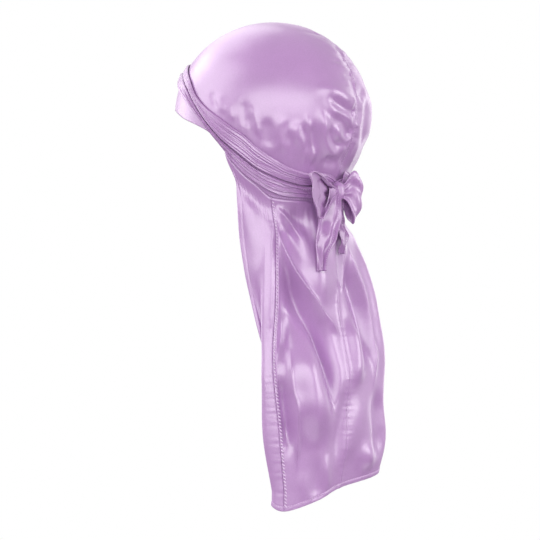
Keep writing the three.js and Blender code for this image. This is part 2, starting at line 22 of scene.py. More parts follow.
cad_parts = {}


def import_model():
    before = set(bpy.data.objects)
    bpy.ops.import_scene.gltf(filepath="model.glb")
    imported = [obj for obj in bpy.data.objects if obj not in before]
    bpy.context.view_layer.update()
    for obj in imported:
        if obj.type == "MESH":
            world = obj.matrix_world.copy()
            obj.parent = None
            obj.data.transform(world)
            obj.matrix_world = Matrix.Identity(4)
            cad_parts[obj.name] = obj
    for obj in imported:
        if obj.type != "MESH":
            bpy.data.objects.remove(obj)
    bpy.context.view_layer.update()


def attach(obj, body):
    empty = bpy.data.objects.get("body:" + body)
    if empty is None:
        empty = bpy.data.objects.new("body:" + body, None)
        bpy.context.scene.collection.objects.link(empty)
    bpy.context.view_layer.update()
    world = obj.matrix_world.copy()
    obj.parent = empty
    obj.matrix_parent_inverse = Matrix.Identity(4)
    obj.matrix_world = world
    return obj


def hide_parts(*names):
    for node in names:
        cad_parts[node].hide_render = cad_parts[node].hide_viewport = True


Array = np.ndarray
Face = Callable[[Array, Array], Array]

FRONT = 180.0  # azimuth of the middle of the forehead
CLOTH = 0.0012  # the CAD's cloth wall
SEAM_GAP = 0.0004  # between two pieces that are sewn together
LAYER_GAP = 0.00065  # between a tie and what it lies on
TIE_GAP = 0.0004  # half of the gap between two ties that lie side by side
MEET = 1e-6  # points closer than this are one
FACE_STEP = 0.004  # share of a face over which its direction is measured
SEED = 7
SIDES = ((1, "left"), (-1, "right"))


def mix(a: Array | float, b: Array | float, share: Array | float) -> Array:
    """A value between a and b."""
    return a + (b - a) * share


def smooth(x: Array | float) -> Array:
    """0 below 0, 1 above 1 and an even ramp between."""
    x = np.clip(x, 0.0, 1.0)
    return x * x * (3.0 - 2.0 * x)


def unit(v: Array) -> Array:
    """The vectors of an array at length 1."""
    return v / np.maximum(np.linalg.norm(v, axis=-1, keepdims=True), 1e-12)


class Column:
    """A smooth curve through one column of a table that never overshoots its rows."""

    def __init__(self, at: Sequence[float], value: Sequence[float]) -> None:
        """Finds the slope at each row.

        Args:
            at: where the rows stand.
            value: the column's values there.
        """
        self.at, self.value = np.array(at, float), np.array(value, float)
        rise = np.diff(self.value) / np.diff(self.at)
        before, after = rise[:-1], rise[1:]
        total = np.where(before * after > 0, before + after, 1.0)
        inner = np.where(before * after > 0, 2 * before * after / total, 0.0)
        self.slope = np.concatenate([rise[:1], inner, rise[-1:]])

    def __call__(self, x: Array | float) -> Array:
        """The curve's value at x, held level past both ends."""
        x = np.asarray(x, float)
        i = np.clip(np.searchsorted(self.at, x) - 1, 0, len(self.at) - 2)
        span = self.at[i + 1] - self.at[i]
        t = np.clip((x - self.at[i]) / span, 0.0, 1.0)
        even = self.value[i] * (1 + 2 * t) * (1 - t) ** 2 + self.value[i + 1] * (3 - 2 * t) * t**2
        bend = self.slope[i] * t * (1 - t) ** 2 - self.slope[i + 1] * (1 - t) * t**2
        return even + span * bend


def curves(columns: Sequence[str], rows: Sequence[Sequence[float]]) -> dict[str, Column]:
    """The columns of a table as curves over its first one.

    Args:
        columns: the names, of which the first is where the rows stand.
        rows: the table.

    Returns:
        A curve for each of the other names.
    """
    at = [row[0] for row in rows]
    return {
        name: Column(at, [row[i] for row in rows]) for i, name in enumerate(columns) if i > 0
    }


class Crest(Enum):
    """How a fold looks across its line: rounded all over, or with a crisp line on top."""

    SOFT = "soft"
    CRISP = "crisp"


@dataclass(frozen=True)
class Fold:
    """A fold of cloth along a line, drawn downwards or to the right as it is seen from outside.

    Points are places on the cloth. Height is how far the fold stands off, or dips where it is
    negative. Breadth is its reach to the left of the line and to the right, and ends are the
    shares of its length over which it rises and dies away.
    """

    points: tuple[tuple[float, float], ...]
    height: float
    breadth: tuple[float, float]
    crest: Crest = Crest.SOFT
    ends: tuple[float, float] = (0.3, 0.3)

    STEPS = 8  # stretches of the line between two points
    NARROW = 0.6  # the breadth where the fold dies away, as a share of the whole one
    CRISP_FALL = 1.8  # how fast a crisp fold falls off beside its line
    CRISP_TIP = 0.02  # how round its top is

    def relief(self, across: Array, down: Array, scale: tuple[float, float]) -> Array:
        """The fold's height at places on the cloth.

        Args:
            across: first coordinate of the places, which grows to the left.
            down: second coordinate.
            scale: metres in one unit of each.

        Returns:
            The height at each place.
        """
        line = spline(np.array(self.points, float) * scale, self.STEPS)
        place = np.stack([across * scale[0], down * scale[1]], axis=-1)
        reach = 3 * max(self.breadth)
        near = (place > line.min(axis=0) - reach) & (place < line.max(axis=0) + reach)
        near = near.all(axis=-1)
        height = np.zeros(len(place))
        height[near] = self.across_line(place[near], line)
        return height

    def across_line(self, place: Array, line: Array) -> Array:
        """The fold's height at places near its line, both in metres."""
        start, run = line[:-1], np.diff(line, axis=0)
        size = np.linalg.norm(run, axis=1)
        at = np.concatenate([[0], np.cumsum(size)])
        best = np.full(len(place), np.inf)
        along, signed = np.zeros_like(best), np.zeros_like(best)
        for i in range(len(run)):
            away = place - start[i]
            t = np.clip((away @ run[i]) / size[i] ** 2, 0.0, 1.0)
            gap = away - t[:, None] * run[i]
            far = np.linalg.norm(gap, axis=-1)
            side = np.sign(run[i, 0] * gap[:, 1] - run[i, 1] * gap[:, 0])
            near = far < best
            best = np.where(near, far, best)
            along = np.where(near, (at[i] + t * size[i]) / at[-1], along)
            signed = np.where(near, side * far, signed)
        fade = smooth(along / self.ends[0]) * smooth((1 - along) / self.ends[1])
        breadth = np.where(signed < 0, self.breadth[0], self.breadth[1]) * mix(self.NARROW, 1.0, fade)
        s = signed / breadth
        if self.crest is Crest.SOFT:
            return self.height * fade * np.exp(-(s**2))
        slant = np.sqrt(s**2 + self.CRISP_TIP) - math.sqrt(self.CRISP_TIP)
        return self.height * fade * np.exp(-self.CRISP_FALL * slant)


def spline(points: Array, steps: int) -> Array:
    """A smooth line through points.

    Args:
        points: the points, one a row.
        steps: how many steps each stretch gets.

    Returns:
        The line's points.
    """
    if len(points) < 3:
        return points
    ends = np.concatenate([[2 * points[0] - points[1]], points, [2 * points[-1] - points[-2]]])
    t = np.arange(steps)[:, None] / steps
    out = []
    for a, b, c, d in zip(ends[:-3], ends[1:-2], ends[2:-1], ends[3:]):
        out.append(b + 0.5 * t * (c - a + t * (2 * a - 5 * b + 4 * c - d + t * (3 * (b - c) + d - a))))
    return np.concatenate([*out, points[-1:]])


def with_crest(folds: Sequence[Fold], crest: Crest) -> tuple[Fold, ...]:
    """The folds that have one kind of crest."""
    return tuple(fold for fold in folds if fold.crest is crest)


def folds_relief(
    folds: Sequence[Fold], across: Array, down: Array, scale: tuple[float, float]
) -> Array:
    """The heights of several folds together."""
    return sum(fold.relief(across, down, scale) for fold in folds)


@dataclass(frozen=True)
class Drape:
    """Soft folds worked out on a grid and evened out there, so that they run into each other.

    Scale is the metres in one unit of each coordinate, low and high are the grid's corners, cells
    its columns and rows, and blur how far the folds are evened out each way in metres.
    """

    folds: tuple[Fold, ...]
    scale: tuple[float, float]
    low: tuple[float, float]
    high: tuple[float, float]
    cells: tuple[int, int]
    blur: tuple[float, float]

    @cached_property
    def heights(self) -> Array:
        """The evened heights, one row for each step across."""
        across, down = (np.linspace(self.low[k], self.high[k], self.cells[k]) for k in (0, 1))
        grid = np.stack(np.meshgrid(across, down, indexing="ij"), axis=-1).reshape(-1, 2)
        heights = folds_relief(self.folds, grid[:, 0], grid[:, 1], self.scale).reshape(self.cells)
        for k in (0, 1):
            step = (self.high[k] - self.low[k]) * self.scale[k] / (self.cells[k] - 1)
            reach = int(math.ceil(3 * self.blur[k] / step))
            weight = np.exp(-0.5 * (np.arange(-reach, reach + 1) * step / self.blur[k]) ** 2)
            heights = np.apply_along_axis(np.convolve, k, heights, weight / weight.sum(), "same")
        return heights

    def relief(self, across: Array, down: Array) -> Array:
        """The evened height at places."""
        spots = []
        for k, value in ((0, across), (1, down)):
            share = (value - self.low[k]) / (self.high[k] - self.low[k])
            spots.append(np.clip(share * (self.cells[k] - 1), 0, self.cells[k] - 1.001))
        i, j = (spot.astype(int) for spot in spots)
        s, t = spots[0] - i, spots[1] - j
        near = mix(self.heights[i, j], self.heights[i, j + 1], t)
        return mix(near, mix(self.heights[i + 1, j], self.heights[i + 1, j + 1], t), s)


@dataclass(frozen=True)
class Puckers:
    """Small uneven waves across a seam: their height, their usual length and how far they reach."""

    height: float
    pitch: float
    reach: float

    SECOND = 0.6  # height of the second wave beside the first

    def relief(self, along: Array, away: Array) -> Array:
        """The waves' height at places along the seam and away from it, both in metres."""
        turn = 2 * math.pi * along / self.pitch
        first = np.sin(turn + 1.3 * np.sin(0.31 * turn))
        second = np.sin(1.73 * turn + 2.0 * np.sin(0.17 * turn))
        wave = (first + self.SECOND * second) / (1 + self.SECOND)
        return self.height * wave * np.exp(-((away / self.reach) ** 2))


def rolled_hem(away: Array, width: float, height: float) -> Array:
    """The height of a rolled hem at distances from the cloth's edge."""
    roll = smooth(away / 0.0008) * smooth((width - away) / 0.001 + 0.5)
    groove = np.exp(-(((away - width) / 0.0006) ** 2))
    return height * roll - 0.5 * height * groove


def graded(share: Array, ends: float, pull: float) -> Array:
    """Shares of a width, set closer together near both edges.

    Args:
        share: even shares from 0 to 1.
        ends: share of the rows that lie close together at each edge.
        pull: how wide those rows are together, as a share.
    """
    return np.interp(share, [0, ends, 1 - ends, 1], [0, pull, 1 - pull, 1])


def scene_object(name: str, data: bpy.types.ID) -> bpy.types.Object:
    """A new object of the scene."""
    made = bpy.data.objects.new(name, data)
    bpy.context.scene.collection.objects.link(made)
    return made


def finished_object(name: str, bm: bmesh.types.BMesh) -> bpy.types.Object:
    """A smooth object of the scene from a mesh under construction, which it frees."""
    for f in bm.faces:
        f.smooth = True
    mesh = bpy.data.meshes.new(name)
    bm.to_mesh(mesh)
    bm.free()
    return scene_object(name, mesh)


def cloth_piece(
    part: str,
    size: tuple[int, int],
    weave: tuple[float, float],
    face: Face,
    wall: float,
    closed: bool = False,
    flip: bool = False,
) -> bpy.types.Object:
    """A sheet of satin as a finished object that stands for one of the CAD's parts.

    Args:
        part: the CAD part's name.
        size: columns and rows of the grid.
        weave: width and length of the woven pattern on it, in metres.
        face: the outer face's points for shares across and down.
        wall: thickness of the cloth, which goes inwards.
        closed: whether the last column meets the first.
        flip: whether the grid's faces have to be turned over to look outwards.

    Returns:
        The object, with its normals outwards and a UV map in metres.
    """
    bm = bmesh.new()
    bmesh.ops.create_grid(bm, x_segments=size[0], y_segments=size[1], size=0.5)
    grid = np.array([v.co[:2] for v in bm.verts]) + 0.5
    points = face(grid[:, 0], grid[:, 1])
    uv = bm.loops.layers.uv.new("cloth")
    bm.verts.index_update()
    for f in bm.faces:
        for loop in f.loops:
            x, y = grid[loop.vert.index]
            loop[uv].uv = (x * weave[0], y * weave[1])
    for vert, point in zip(bm.verts, points):
        vert.co = point
    # A closed band is welded end to end, and a panel that starts in a point there.
    weld = bm.verts if closed else [v for v, g in zip(bm.verts, grid) if g[1] < MEET]
    bmesh.ops.remove_doubles(bm, verts=weld, dist=MEET)
    if flip:
        bmesh.ops.reverse_faces(bm, faces=bm.faces)
    piece = finished_object(f"{part}_satin", bm)
    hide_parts(part)
    solid = piece.modifiers.new("wall", "SOLIDIFY")
    solid.thickness = wall
    solid.offset = -1.0
    solid.use_even_offset = False
    return piece


def turn_outwards(piece: bpy.types.Object, outward: Callable[[Vector], Vector]) -> None:
    """Turns a sheet over if its faces look inwards.

    Args:
        piece: the sheet.
        outward: the way out at a point.
    """
    score = sum(p.normal.dot(outward(p.center)) * p.area for p in piece.data.polygons)
    if score < 0:
        piece.data.flip_normals()


def face_line(face: Face, across: Array, down: Array, outward: Array) -> tuple[Array, Array]:
    """Points and outward directions along a line on a face.

    Args:
        face: the face.
        across: first shares of the line's points.
        down: second shares.
        outward: roughly the way out, to tell the sides apart.
    """
    right, left = np.minimum(across + FACE_STEP, 1), np.maximum(across - FACE_STEP, 0)
    below, above = np.minimum(down + FACE_STEP, 1), np.maximum(down - FACE_STEP, 0)
    sideways = face(right, down) - face(left, down)
    normal = unit(np.cross(sideways, face(across, below) - face(across, above)))
    facing = np.sign((normal * outward).sum(axis=-1, keepdims=True))
    return face(across, down), normal * facing


@dataclass(frozen=True)
class Stitches:
    """A row of stitches: how far apart, how long and thick, and how much they lean in degrees."""

    name: str
    pitch: float = 0.0024
    length: float = 0.0017
    radius: float = 0.00022
    lean: float = 0.0

    AHEAD = 1e-4  # distance over which the row's direction is measured
    PROUD = 0.4  # how far a stitch's middle stands off the cloth, in radii

    def build(self, line: Array, outward: Array) -> bpy.types.Object:
        """Sews the row along a line.

        Args:
            line: the line's points.
            outward: the way out at each of them.

        Returns:
            The stitches as one object.
        """
        run = np.linalg.norm(np.diff(line, axis=0), axis=1)
        at = np.concatenate([[0], np.cumsum(run)])
        spots = np.arange(self.pitch / 2, at[-1], self.pitch)

        def read(values: Array, shift: float = 0.0) -> Array:
            return np.stack([np.interp(spots + shift, at, values[:, k]) for k in range(3)], axis=-1)

        up = unit(read(outward))
        along = unit(read(line, self.AHEAD) - read(line, -self.AHEAD))
        side = unit(np.cross(up, along))
        cos, sin = math.cos(math.radians(self.lean)), math.sin(math.radians(self.lean))
        along, side = along * cos + side * sin, side * cos - along * sin
        bm = bmesh.new()
        for spot, x, y, z in zip(read(line) + up * self.radius * self.PROUD, along, side, up):
            columns = (x * self.length / 2, y * self.radius, z * self.radius, spot)
            matrix = Matrix([*np.stack(columns, axis=-1).tolist(), (0, 0, 0, 1)])
            bmesh.ops.create_uvsphere(bm, u_segments=6, v_segments=4, radius=1.0, matrix=matrix)
        bmesh.ops.recalc_face_normals(bm, faces=bm.faces)
        return finished_object(self.name, bm)


@dataclass(frozen=True)
class Head:
    """The shape that the crown is stretched over, outside."""

    half_width: float = 0.079
    half_length: float = 0.097
    height: float = 0.086
    egg: float = 0.05

    QUARTER = math.pi / 2
    LOWER = curves(
        ("drop", "out", "back", "front"),
        (
            (1.0, 1.0, 1.0, 1.0),
            (1.07, 0.998, 0.997, 0.998),
            (1.21, 0.985, 0.978, 0.99),
            (1.4, 0.955, 0.915, 0.96),
            (1.62, 0.905, 0.8, 0.9),
            (1.77, 0.865, 0.735, 0.85),
            (1.93, 0.825, 0.69, 0.8),
            (2.15, 0.78, 0.655, 0.72),
            (2.7, 0.72, 0.63, 0.6),
        ),
    )

    def halves(self, drop: Array, behind: Array) -> tuple[Array, Array]:
        """Half width and half length of the head at drops below the top."""
        share = drop / self.height
        dome = np.sqrt(np.clip(1 - (1 - share) ** 2, 0, None))
        back = np.where(behind, self.LOWER["back"](share), self.LOWER["front"](share))
        above = share < 1
        wide = np.where(above, dome, self.LOWER["out"](share))
        long = np.where(above, dome, back)
        return self.half_width * wide, self.half_length * long

    def normal(self, azimuth: Array, drop: Array) -> Array:
        """The outward direction of the head's surface."""
        angle = np.radians(azimuth)
        sine, cosine = np.sin(angle), np.cos(angle)
        flat = unit(np.stack([sine / self.half_width, cosine / self.half_length], axis=-1))
        share = drop / self.height
        reach = sine * flat[..., 0] * self.half_width + cosine * flat[..., 1] * self.half_length
        down = np.sqrt(np.clip(1 - (1 - share) ** 2, 0, None)) * self.height
        dome = np.stack([flat[..., 0] * down, flat[..., 1] * down, reach * (1 - share)], axis=-1)
        step = 0.001
        wide, long = self.halves(drop, cosine > 0)
        wider, longer = self.halves(drop + step, cosine > 0)
        slope = (sine * flat[..., 0] * (wider - wide) + cosine * flat[..., 1] * (longer - long)) / step
        lower = np.concatenate([flat, slope[..., None]], axis=-1)
        return unit(np.where((share < 1)[..., None], dome, lower))

    def point(self, azimuth: Array, drop: Array, lift: Array | float) -> Array:
        """A point of the crown's outer face, lifted off it along its normal."""
        angle = np.radians(azimuth)
        sine, cosine = np.sin(angle), np.cos(angle)
        wide, long = self.halves(drop, cosine > 0)
        out = wide * sine * (1 + self.egg * cosine)
        plain = np.stack([out, long * cosine, CLOTH - drop], axis=-1)
        return plain + self.normal(azimuth, drop) * np.asarray(lift)[..., None]

    def drop_at(self, level: Array) -> Array:
        """Drop at a level, where levels are even steps along the cloth."""
        on_dome = 1 - np.cos(np.minimum(level, 1) * self.QUARTER)
        return np.where(level < 1, on_dome, 1 + (level - 1) * self.QUARTER) * self.height

    def level_at(self, drop: Array) -> Array:
        """The level of a drop."""
        share = drop / self.height
        on_dome = np.arccos(np.clip(1 - share, -1, 1)) / self.QUARTER
        return np.where(share < 1, on_dome, 1 + (share - 1) / self.QUARTER)


@dataclass(frozen=True)
class Lines:
    """The crown's lower edge and the ties' edges, as shares of the crown's height."""

    head: Head
    seam: float = 3.0
    corner: float = 54.0
    ear: float = 89.0

    EDGES = curves(
        ("azimuth", "edge", "top", "middle", "bottom"),
        (
            (-1, 1.98, 1.645, 1.8, 1.945),
            (0, 1.98, 1.65, 1.8, 1.945),
            (28, 1.965, 1.665, 1.81, 1.94),
            (42, 1.955, 1.62, 1.775, 1.93),
            (54, 1.93, 1.53, 1.715, 1.88),
            (66, 1.8, 1.41, 1.63, 1.775),
            (76, 1.69, 1.26, 1.515, 1.66),
            (84, 1.56, 1.165, 1.41, 1.52),
            (89, 1.44, 1.1, 1.34, 1.42),
            (99, 1.24, 0.98, 1.15, 1.215),
            (108, 1.16, 0.85, 0.96, 1.05),
            (121, 1.08, 0.64, 0.74, 0.86),
            (144, 0.955, 0.46, 0.56, 0.68),
            (165, 0.92, 0.42, 0.52, 0.63),
            (180, 0.915, 0.41, 0.51, 0.62),
            (181, 0.915, 0.41, 0.51, 0.62),
        ),
    )

    def drop(self, name: str, azimuth: Array) -> Array:
        """Drop of one of the lines at an azimuth."""
        return self.head.height * self.EDGES[name](np.abs(azimuth))

    def tail_top(self, azimuth: Array) -> Array:
        """Drop at which the tail starts below the crown's edge."""
        climb = (self.drop("edge", azimuth + 1) - self.drop("edge", azimuth - 1)) / (
            math.radians(2) * self.head.half_width
        )
        return self.drop("edge", azimuth) + SEAM_GAP * np.hypot(1, climb)


@dataclass(frozen=True)
class Crown:
    """The two side panels of the crown, with the puckered seam between them."""

    head: Head
    lines: Lines
    columns: int = 200
    rows: int = 120
    wall: float = 0.0007
    valley: float = 0.002
    valley_spread: float = 9.0
    tuck: float = 1.3
    above_ties: float = 0.12
    hem: tuple[float, float] = (0.0028, 0.0004)
    weave: tuple[float, float] = (0.27, 0.2)

    CLOSE_ACROSS = (0.05, 0.012)  # columns set closer at the edges: their share and its width
    ABOVE_TIES = 0.75  # share of the rows that lie above the ties
    KNOTS = (0, 11 / 26, 18 / 26, 1)  # shares of the columns at seam, corner, ear and brow
    HEM_LINE = 0.08  # metres in a radian near the crown's top
    PUCKERS = Puckers(0.00025, 0.009, 0.006)

    # Azimuth of the seam over shares of the crown's height.
    SEAM = Column(
        (0, 0.2, 0.395, 0.56, 0.705, 0.89, 1.08, 2.0), (3.0, -6.0, -7.8, -4.8, -3.5, -1.0, -0.2, 0.0)
    )
    # Folds over azimuth and share of the crown's height.
    FOLDS = (
        Fold(((97, 0.78), (95.5, 0.9), (92.5, 1.03)), -0.0015, (0.003, 0.003), Crest.CRISP),
        Fold(((92.5, 0.82), (91, 0.95), (88, 1.08)), 0.0014, (0.003, 0.005)),
        Fold(((86, 0.92), (84, 1.04), (81, 1.16)), 0.0011, (0.003, 0.003)),
        Fold(
            ((34.5, 0.84), (27, 0.8), (19, 0.82), (10, 0.88), (0, 0.95)),
            0.0034, (0.01, 0.006), ends=(0.4, 0.1),
        ),
        Fold(
            ((26, 0.85), (20, 0.94), (12, 1.01), (0, 1.045)),
            -0.0034, (0.005, 0.005), ends=(0.4, 0.1),
        ),
        Fold(
            ((29, 0.915), (21, 1.005), (12, 1.065), (1, 1.1)),
            0.0026, (0.004, 0.004), ends=(0.4, 0.1),
        ),
        Fold(
            ((24, 1.05), (19.8, 1.095), (13.2, 1.14), (7.2, 1.225), (1, 1.28)),
            -0.003, (0.007, 0.005), ends=(0.4, 0.1),
        ),
        Fold(
            ((31, 0.98), (30, 1.03), (27, 1.17), (23, 1.33), (16, 1.45), (5, 1.5)),
            0.004, (0.004, 0.004),
        ),
        Fold(((25, 1.17), (19.5, 1.325), (13.2, 1.39), (6, 1.365)), -0.0038, (0.005, 0.005)),
        Fold(((18.2, 1.185), (14.8, 1.255), (11.2, 1.32)), 0.0018, (0.004, 0.004)),
        Fold(((22.5, 1.58), (14, 1.555), (3, 1.595)), -0.002, (0.005, 0.005)),
        Fold(
            ((39.5, 1.05), (37, 1.175), (33, 1.38), (26, 1.6)),
            0.0028, (0.0035, 0.003), Crest.CRISP,
        ),
        Fold(((36.5, 1.15), (33.5, 1.3), (29, 1.52)), -0.0034, (0.004, 0.004)),
        Fold(((45.5, 1.13), (40.5, 1.31), (35, 1.46)), 0.0026, (0.0035, 0.0035)),
        Fold(((42, 1.15), (38.5, 1.31), (33, 1.48)), -0.0026, (0.0035, 0.003)),
        Fold(((49, 1.16), (46, 1.265), (42, 1.39)), 0.002, (0.0035, 0.0035)),
        Fold(((52, 1.14), (49.5, 1.265), (45.5, 1.4)), -0.0018, (0.0035, 0.0035)),
        Fold(
            ((-4, 0.455), (10, 0.475), (22, 0.5)),
            -0.0014, (0.0018, 0.0014), Crest.CRISP, (0.05, 0.6),
        ),
        Fold(
            ((-3, 0.61), (6, 0.632), (14, 0.655)),
            -0.0015, (0.0016, 0.0014), Crest.CRISP, (0.05, 0.6),
        ),
        Fold(
            ((-3, 0.65), (5, 0.66), (12, 0.685)),
            0.001, (0.0016, 0.0014), Crest.CRISP, (0.05, 0.6),
        ),
        Fold(((-6, 0.87), (-12, 0.8), (-19, 0.75)), -0.0026, (0.004, 0.004), ends=(0.1, 0.5)),
        Fold(((55, 1.05), (52, 1.3), (49, 1.52)), 0.0018, (0.005, 0.004)),
        Fold(((62, 1.1), (60, 1.28), (58, 1.45)), -0.0014, (0.005, 0.004)),
        Fold(((70, 0.95), (68, 1.12), (65, 1.33)), 0.0016, (0.004, 0.003), Crest.CRISP),
        Fold(((76, 0.9), (75, 1.05), (73, 1.22)), -0.0016, (0.004, 0.004)),
        Fold(((-30, 0.7), (-27, 1.05), (-26, 1.4)), 0.0024, (0.006, 0.006)),
        Fold(((-18, 0.8), (-15, 1.1), (-16, 1.4)), -0.0027, (0.006, 0.005)),
        Fold(((-92, 0.75), (-91, 0.9), (-90, 1.08)), -0.0022, (0.004, 0.004)),
        Fold(((-60, 1.0), (-52, 1.25), (-46, 1.5)), 0.0022, (0.005, 0.005)),
    )

    @cached_property
    def drape(self) -> Drape:
        """The broad folds."""
        folds = with_crest(self.FOLDS, Crest.SOFT)
        scale = (math.radians(1) * self.head.half_width, self.head.height)
        return Drape(folds, scale, (-110, 0.4), (110, 2.0), (440, 240), (0.0014, 0.0016))

    def wrinkles(self) -> list[Fold]:
        """Small folds: upright ones above the ties and short ones across the seam."""
        rng = np.random.default_rng(SEED)
        found = []
        for _ in range(90):
            azimuth = rng.uniform(-104, 104)
            foot = float(self.lines.EDGES["top"](abs(azimuth))) + 0.02
            reach, lean = rng.uniform(0.12, 0.46), rng.uniform(-3, 3)
            height = rng.uniform(0.00015, 0.00045) * rng.choice((-1, 1))
            points = ((azimuth + lean, foot - reach), (azimuth, foot))
            breadth = rng.uniform(0.0015, 0.0034)
            found.append(Fold(points, height, (breadth, breadth), ends=(0.5, 0.3)))
        for _ in range(60):
            share = rng.uniform(0.06, 1.6)
            side = rng.choice((-1, 1))
            reach = rng.uniform(7, 20) / max(0.3, math.sqrt(min(1, share)))
            seam = float(self.SEAM(share))
            last = (seam + side * reach, share + rng.uniform(-0.1, 0.02))
            points = ((seam + side * 0.5, share), last)
            height = rng.uniform(0.0003, 0.001) * rng.choice((-1, 1))
            breadth = rng.uniform(0.0014, 0.003)
            found.append(Fold(points, height, (breadth, breadth), ends=(0.15, 0.6)))
        return found

    def relief(self, azimuth: Array, drop: Array) -> Array:
        """Height of the cloth over the plain head."""
        share = drop / self.head.height
        off = np.abs(azimuth - self.SEAM(share))
        deep = smooth((share - 0.1) / 0.3)
        valley = -self.valley * np.exp(-((off / self.valley_spread) ** 2)) * deep
        radius = self.head.half_length * np.sqrt(np.clip(share, 0.01, 1))
        waves = self.PUCKERS.relief(drop, np.radians(off) * radius) * deep
        fine = (*with_crest(self.FOLDS, Crest.CRISP), *self.wrinkles())
        folds = self.drape.relief(azimuth, share) + folds_relief(fine, azimuth, share, self.drape.scale)
        top = self.lines.EDGES["top"](np.abs(azimuth))
        return (valley + waves + folds) * smooth((top - share) / self.above_ties)

    def face(self, side: int) -> Face:
        """The outer face of one panel, as a function of shares across and down."""
        under = 0.0 if side > 0 else self.tuck

        def points(across: Array, down: Array) -> Array:
            across = graded(across, *self.CLOSE_ACROSS)
            first, last = side * self.lines.seam - under, FRONT + under
            azimuth = side * np.interp(
                across, self.KNOTS, (first, self.lines.corner, self.lines.ear, last)
            )
            upper = down / self.ABOVE_TIES
            middle = self.head.level_at(self.lines.drop("top", np.array(self.lines.seam))) * upper
            seam = self.SEAM(self.head.drop_at(middle) / self.head.height)
            azimuth = azimuth + (seam - self.lines.seam) * (1 - smooth(across / self.KNOTS[1]))
            top = self.head.level_at(self.lines.drop("top", azimuth))
            edge = self.head.level_at(self.lines.drop("edge", azimuth))
            lower = (down - self.ABOVE_TIES) / (1 - self.ABOVE_TIES)
            drop = self.head.drop_at(np.where(upper < 1, top * upper, mix(top, edge, lower)))
            lift = self.relief(azimuth, drop)
            if side < 0:
                past = np.maximum(azimuth - seam, -FRONT - azimuth)
                lift = lift - (self.wall + SEAM_GAP / 2) * smooth((past + 0.5) / 0.6)
            else:
                wide = np.radians(np.minimum(azimuth - seam, FRONT - azimuth)) * self.HEM_LINE
                lift = lift + rolled_hem(wide, *self.hem) * smooth(drop / 0.03)
            return self.head.point(azimuth, drop, lift)

        return points

    def seam_line(self, aside: float) -> tuple[Array, Array]:
        """Points and outward directions of a line beside the seam, a few degrees to its side."""
        drop = np.linspace(0.05, self.lines.EDGES["top"](0.0) - 0.02, 400) * self.head.height
        azimuth = self.SEAM(drop / self.head.height) + aside
        lift = self.relief(azimuth, drop)
        if aside < 0:
            lift = lift + 0.0001
        return self.head.point(azimuth, drop, lift), self.head.normal(azimuth, drop)

    def build(self) -> list[bpy.types.Object]:
        """Makes both panels."""
        size = (self.columns, self.rows)
        return [
            cloth_piece(
                f"crown_panel_{end}", size, self.weave, self.face(side), self.wall, flip=side < 0
            )
            for side, end in SIDES
        ]


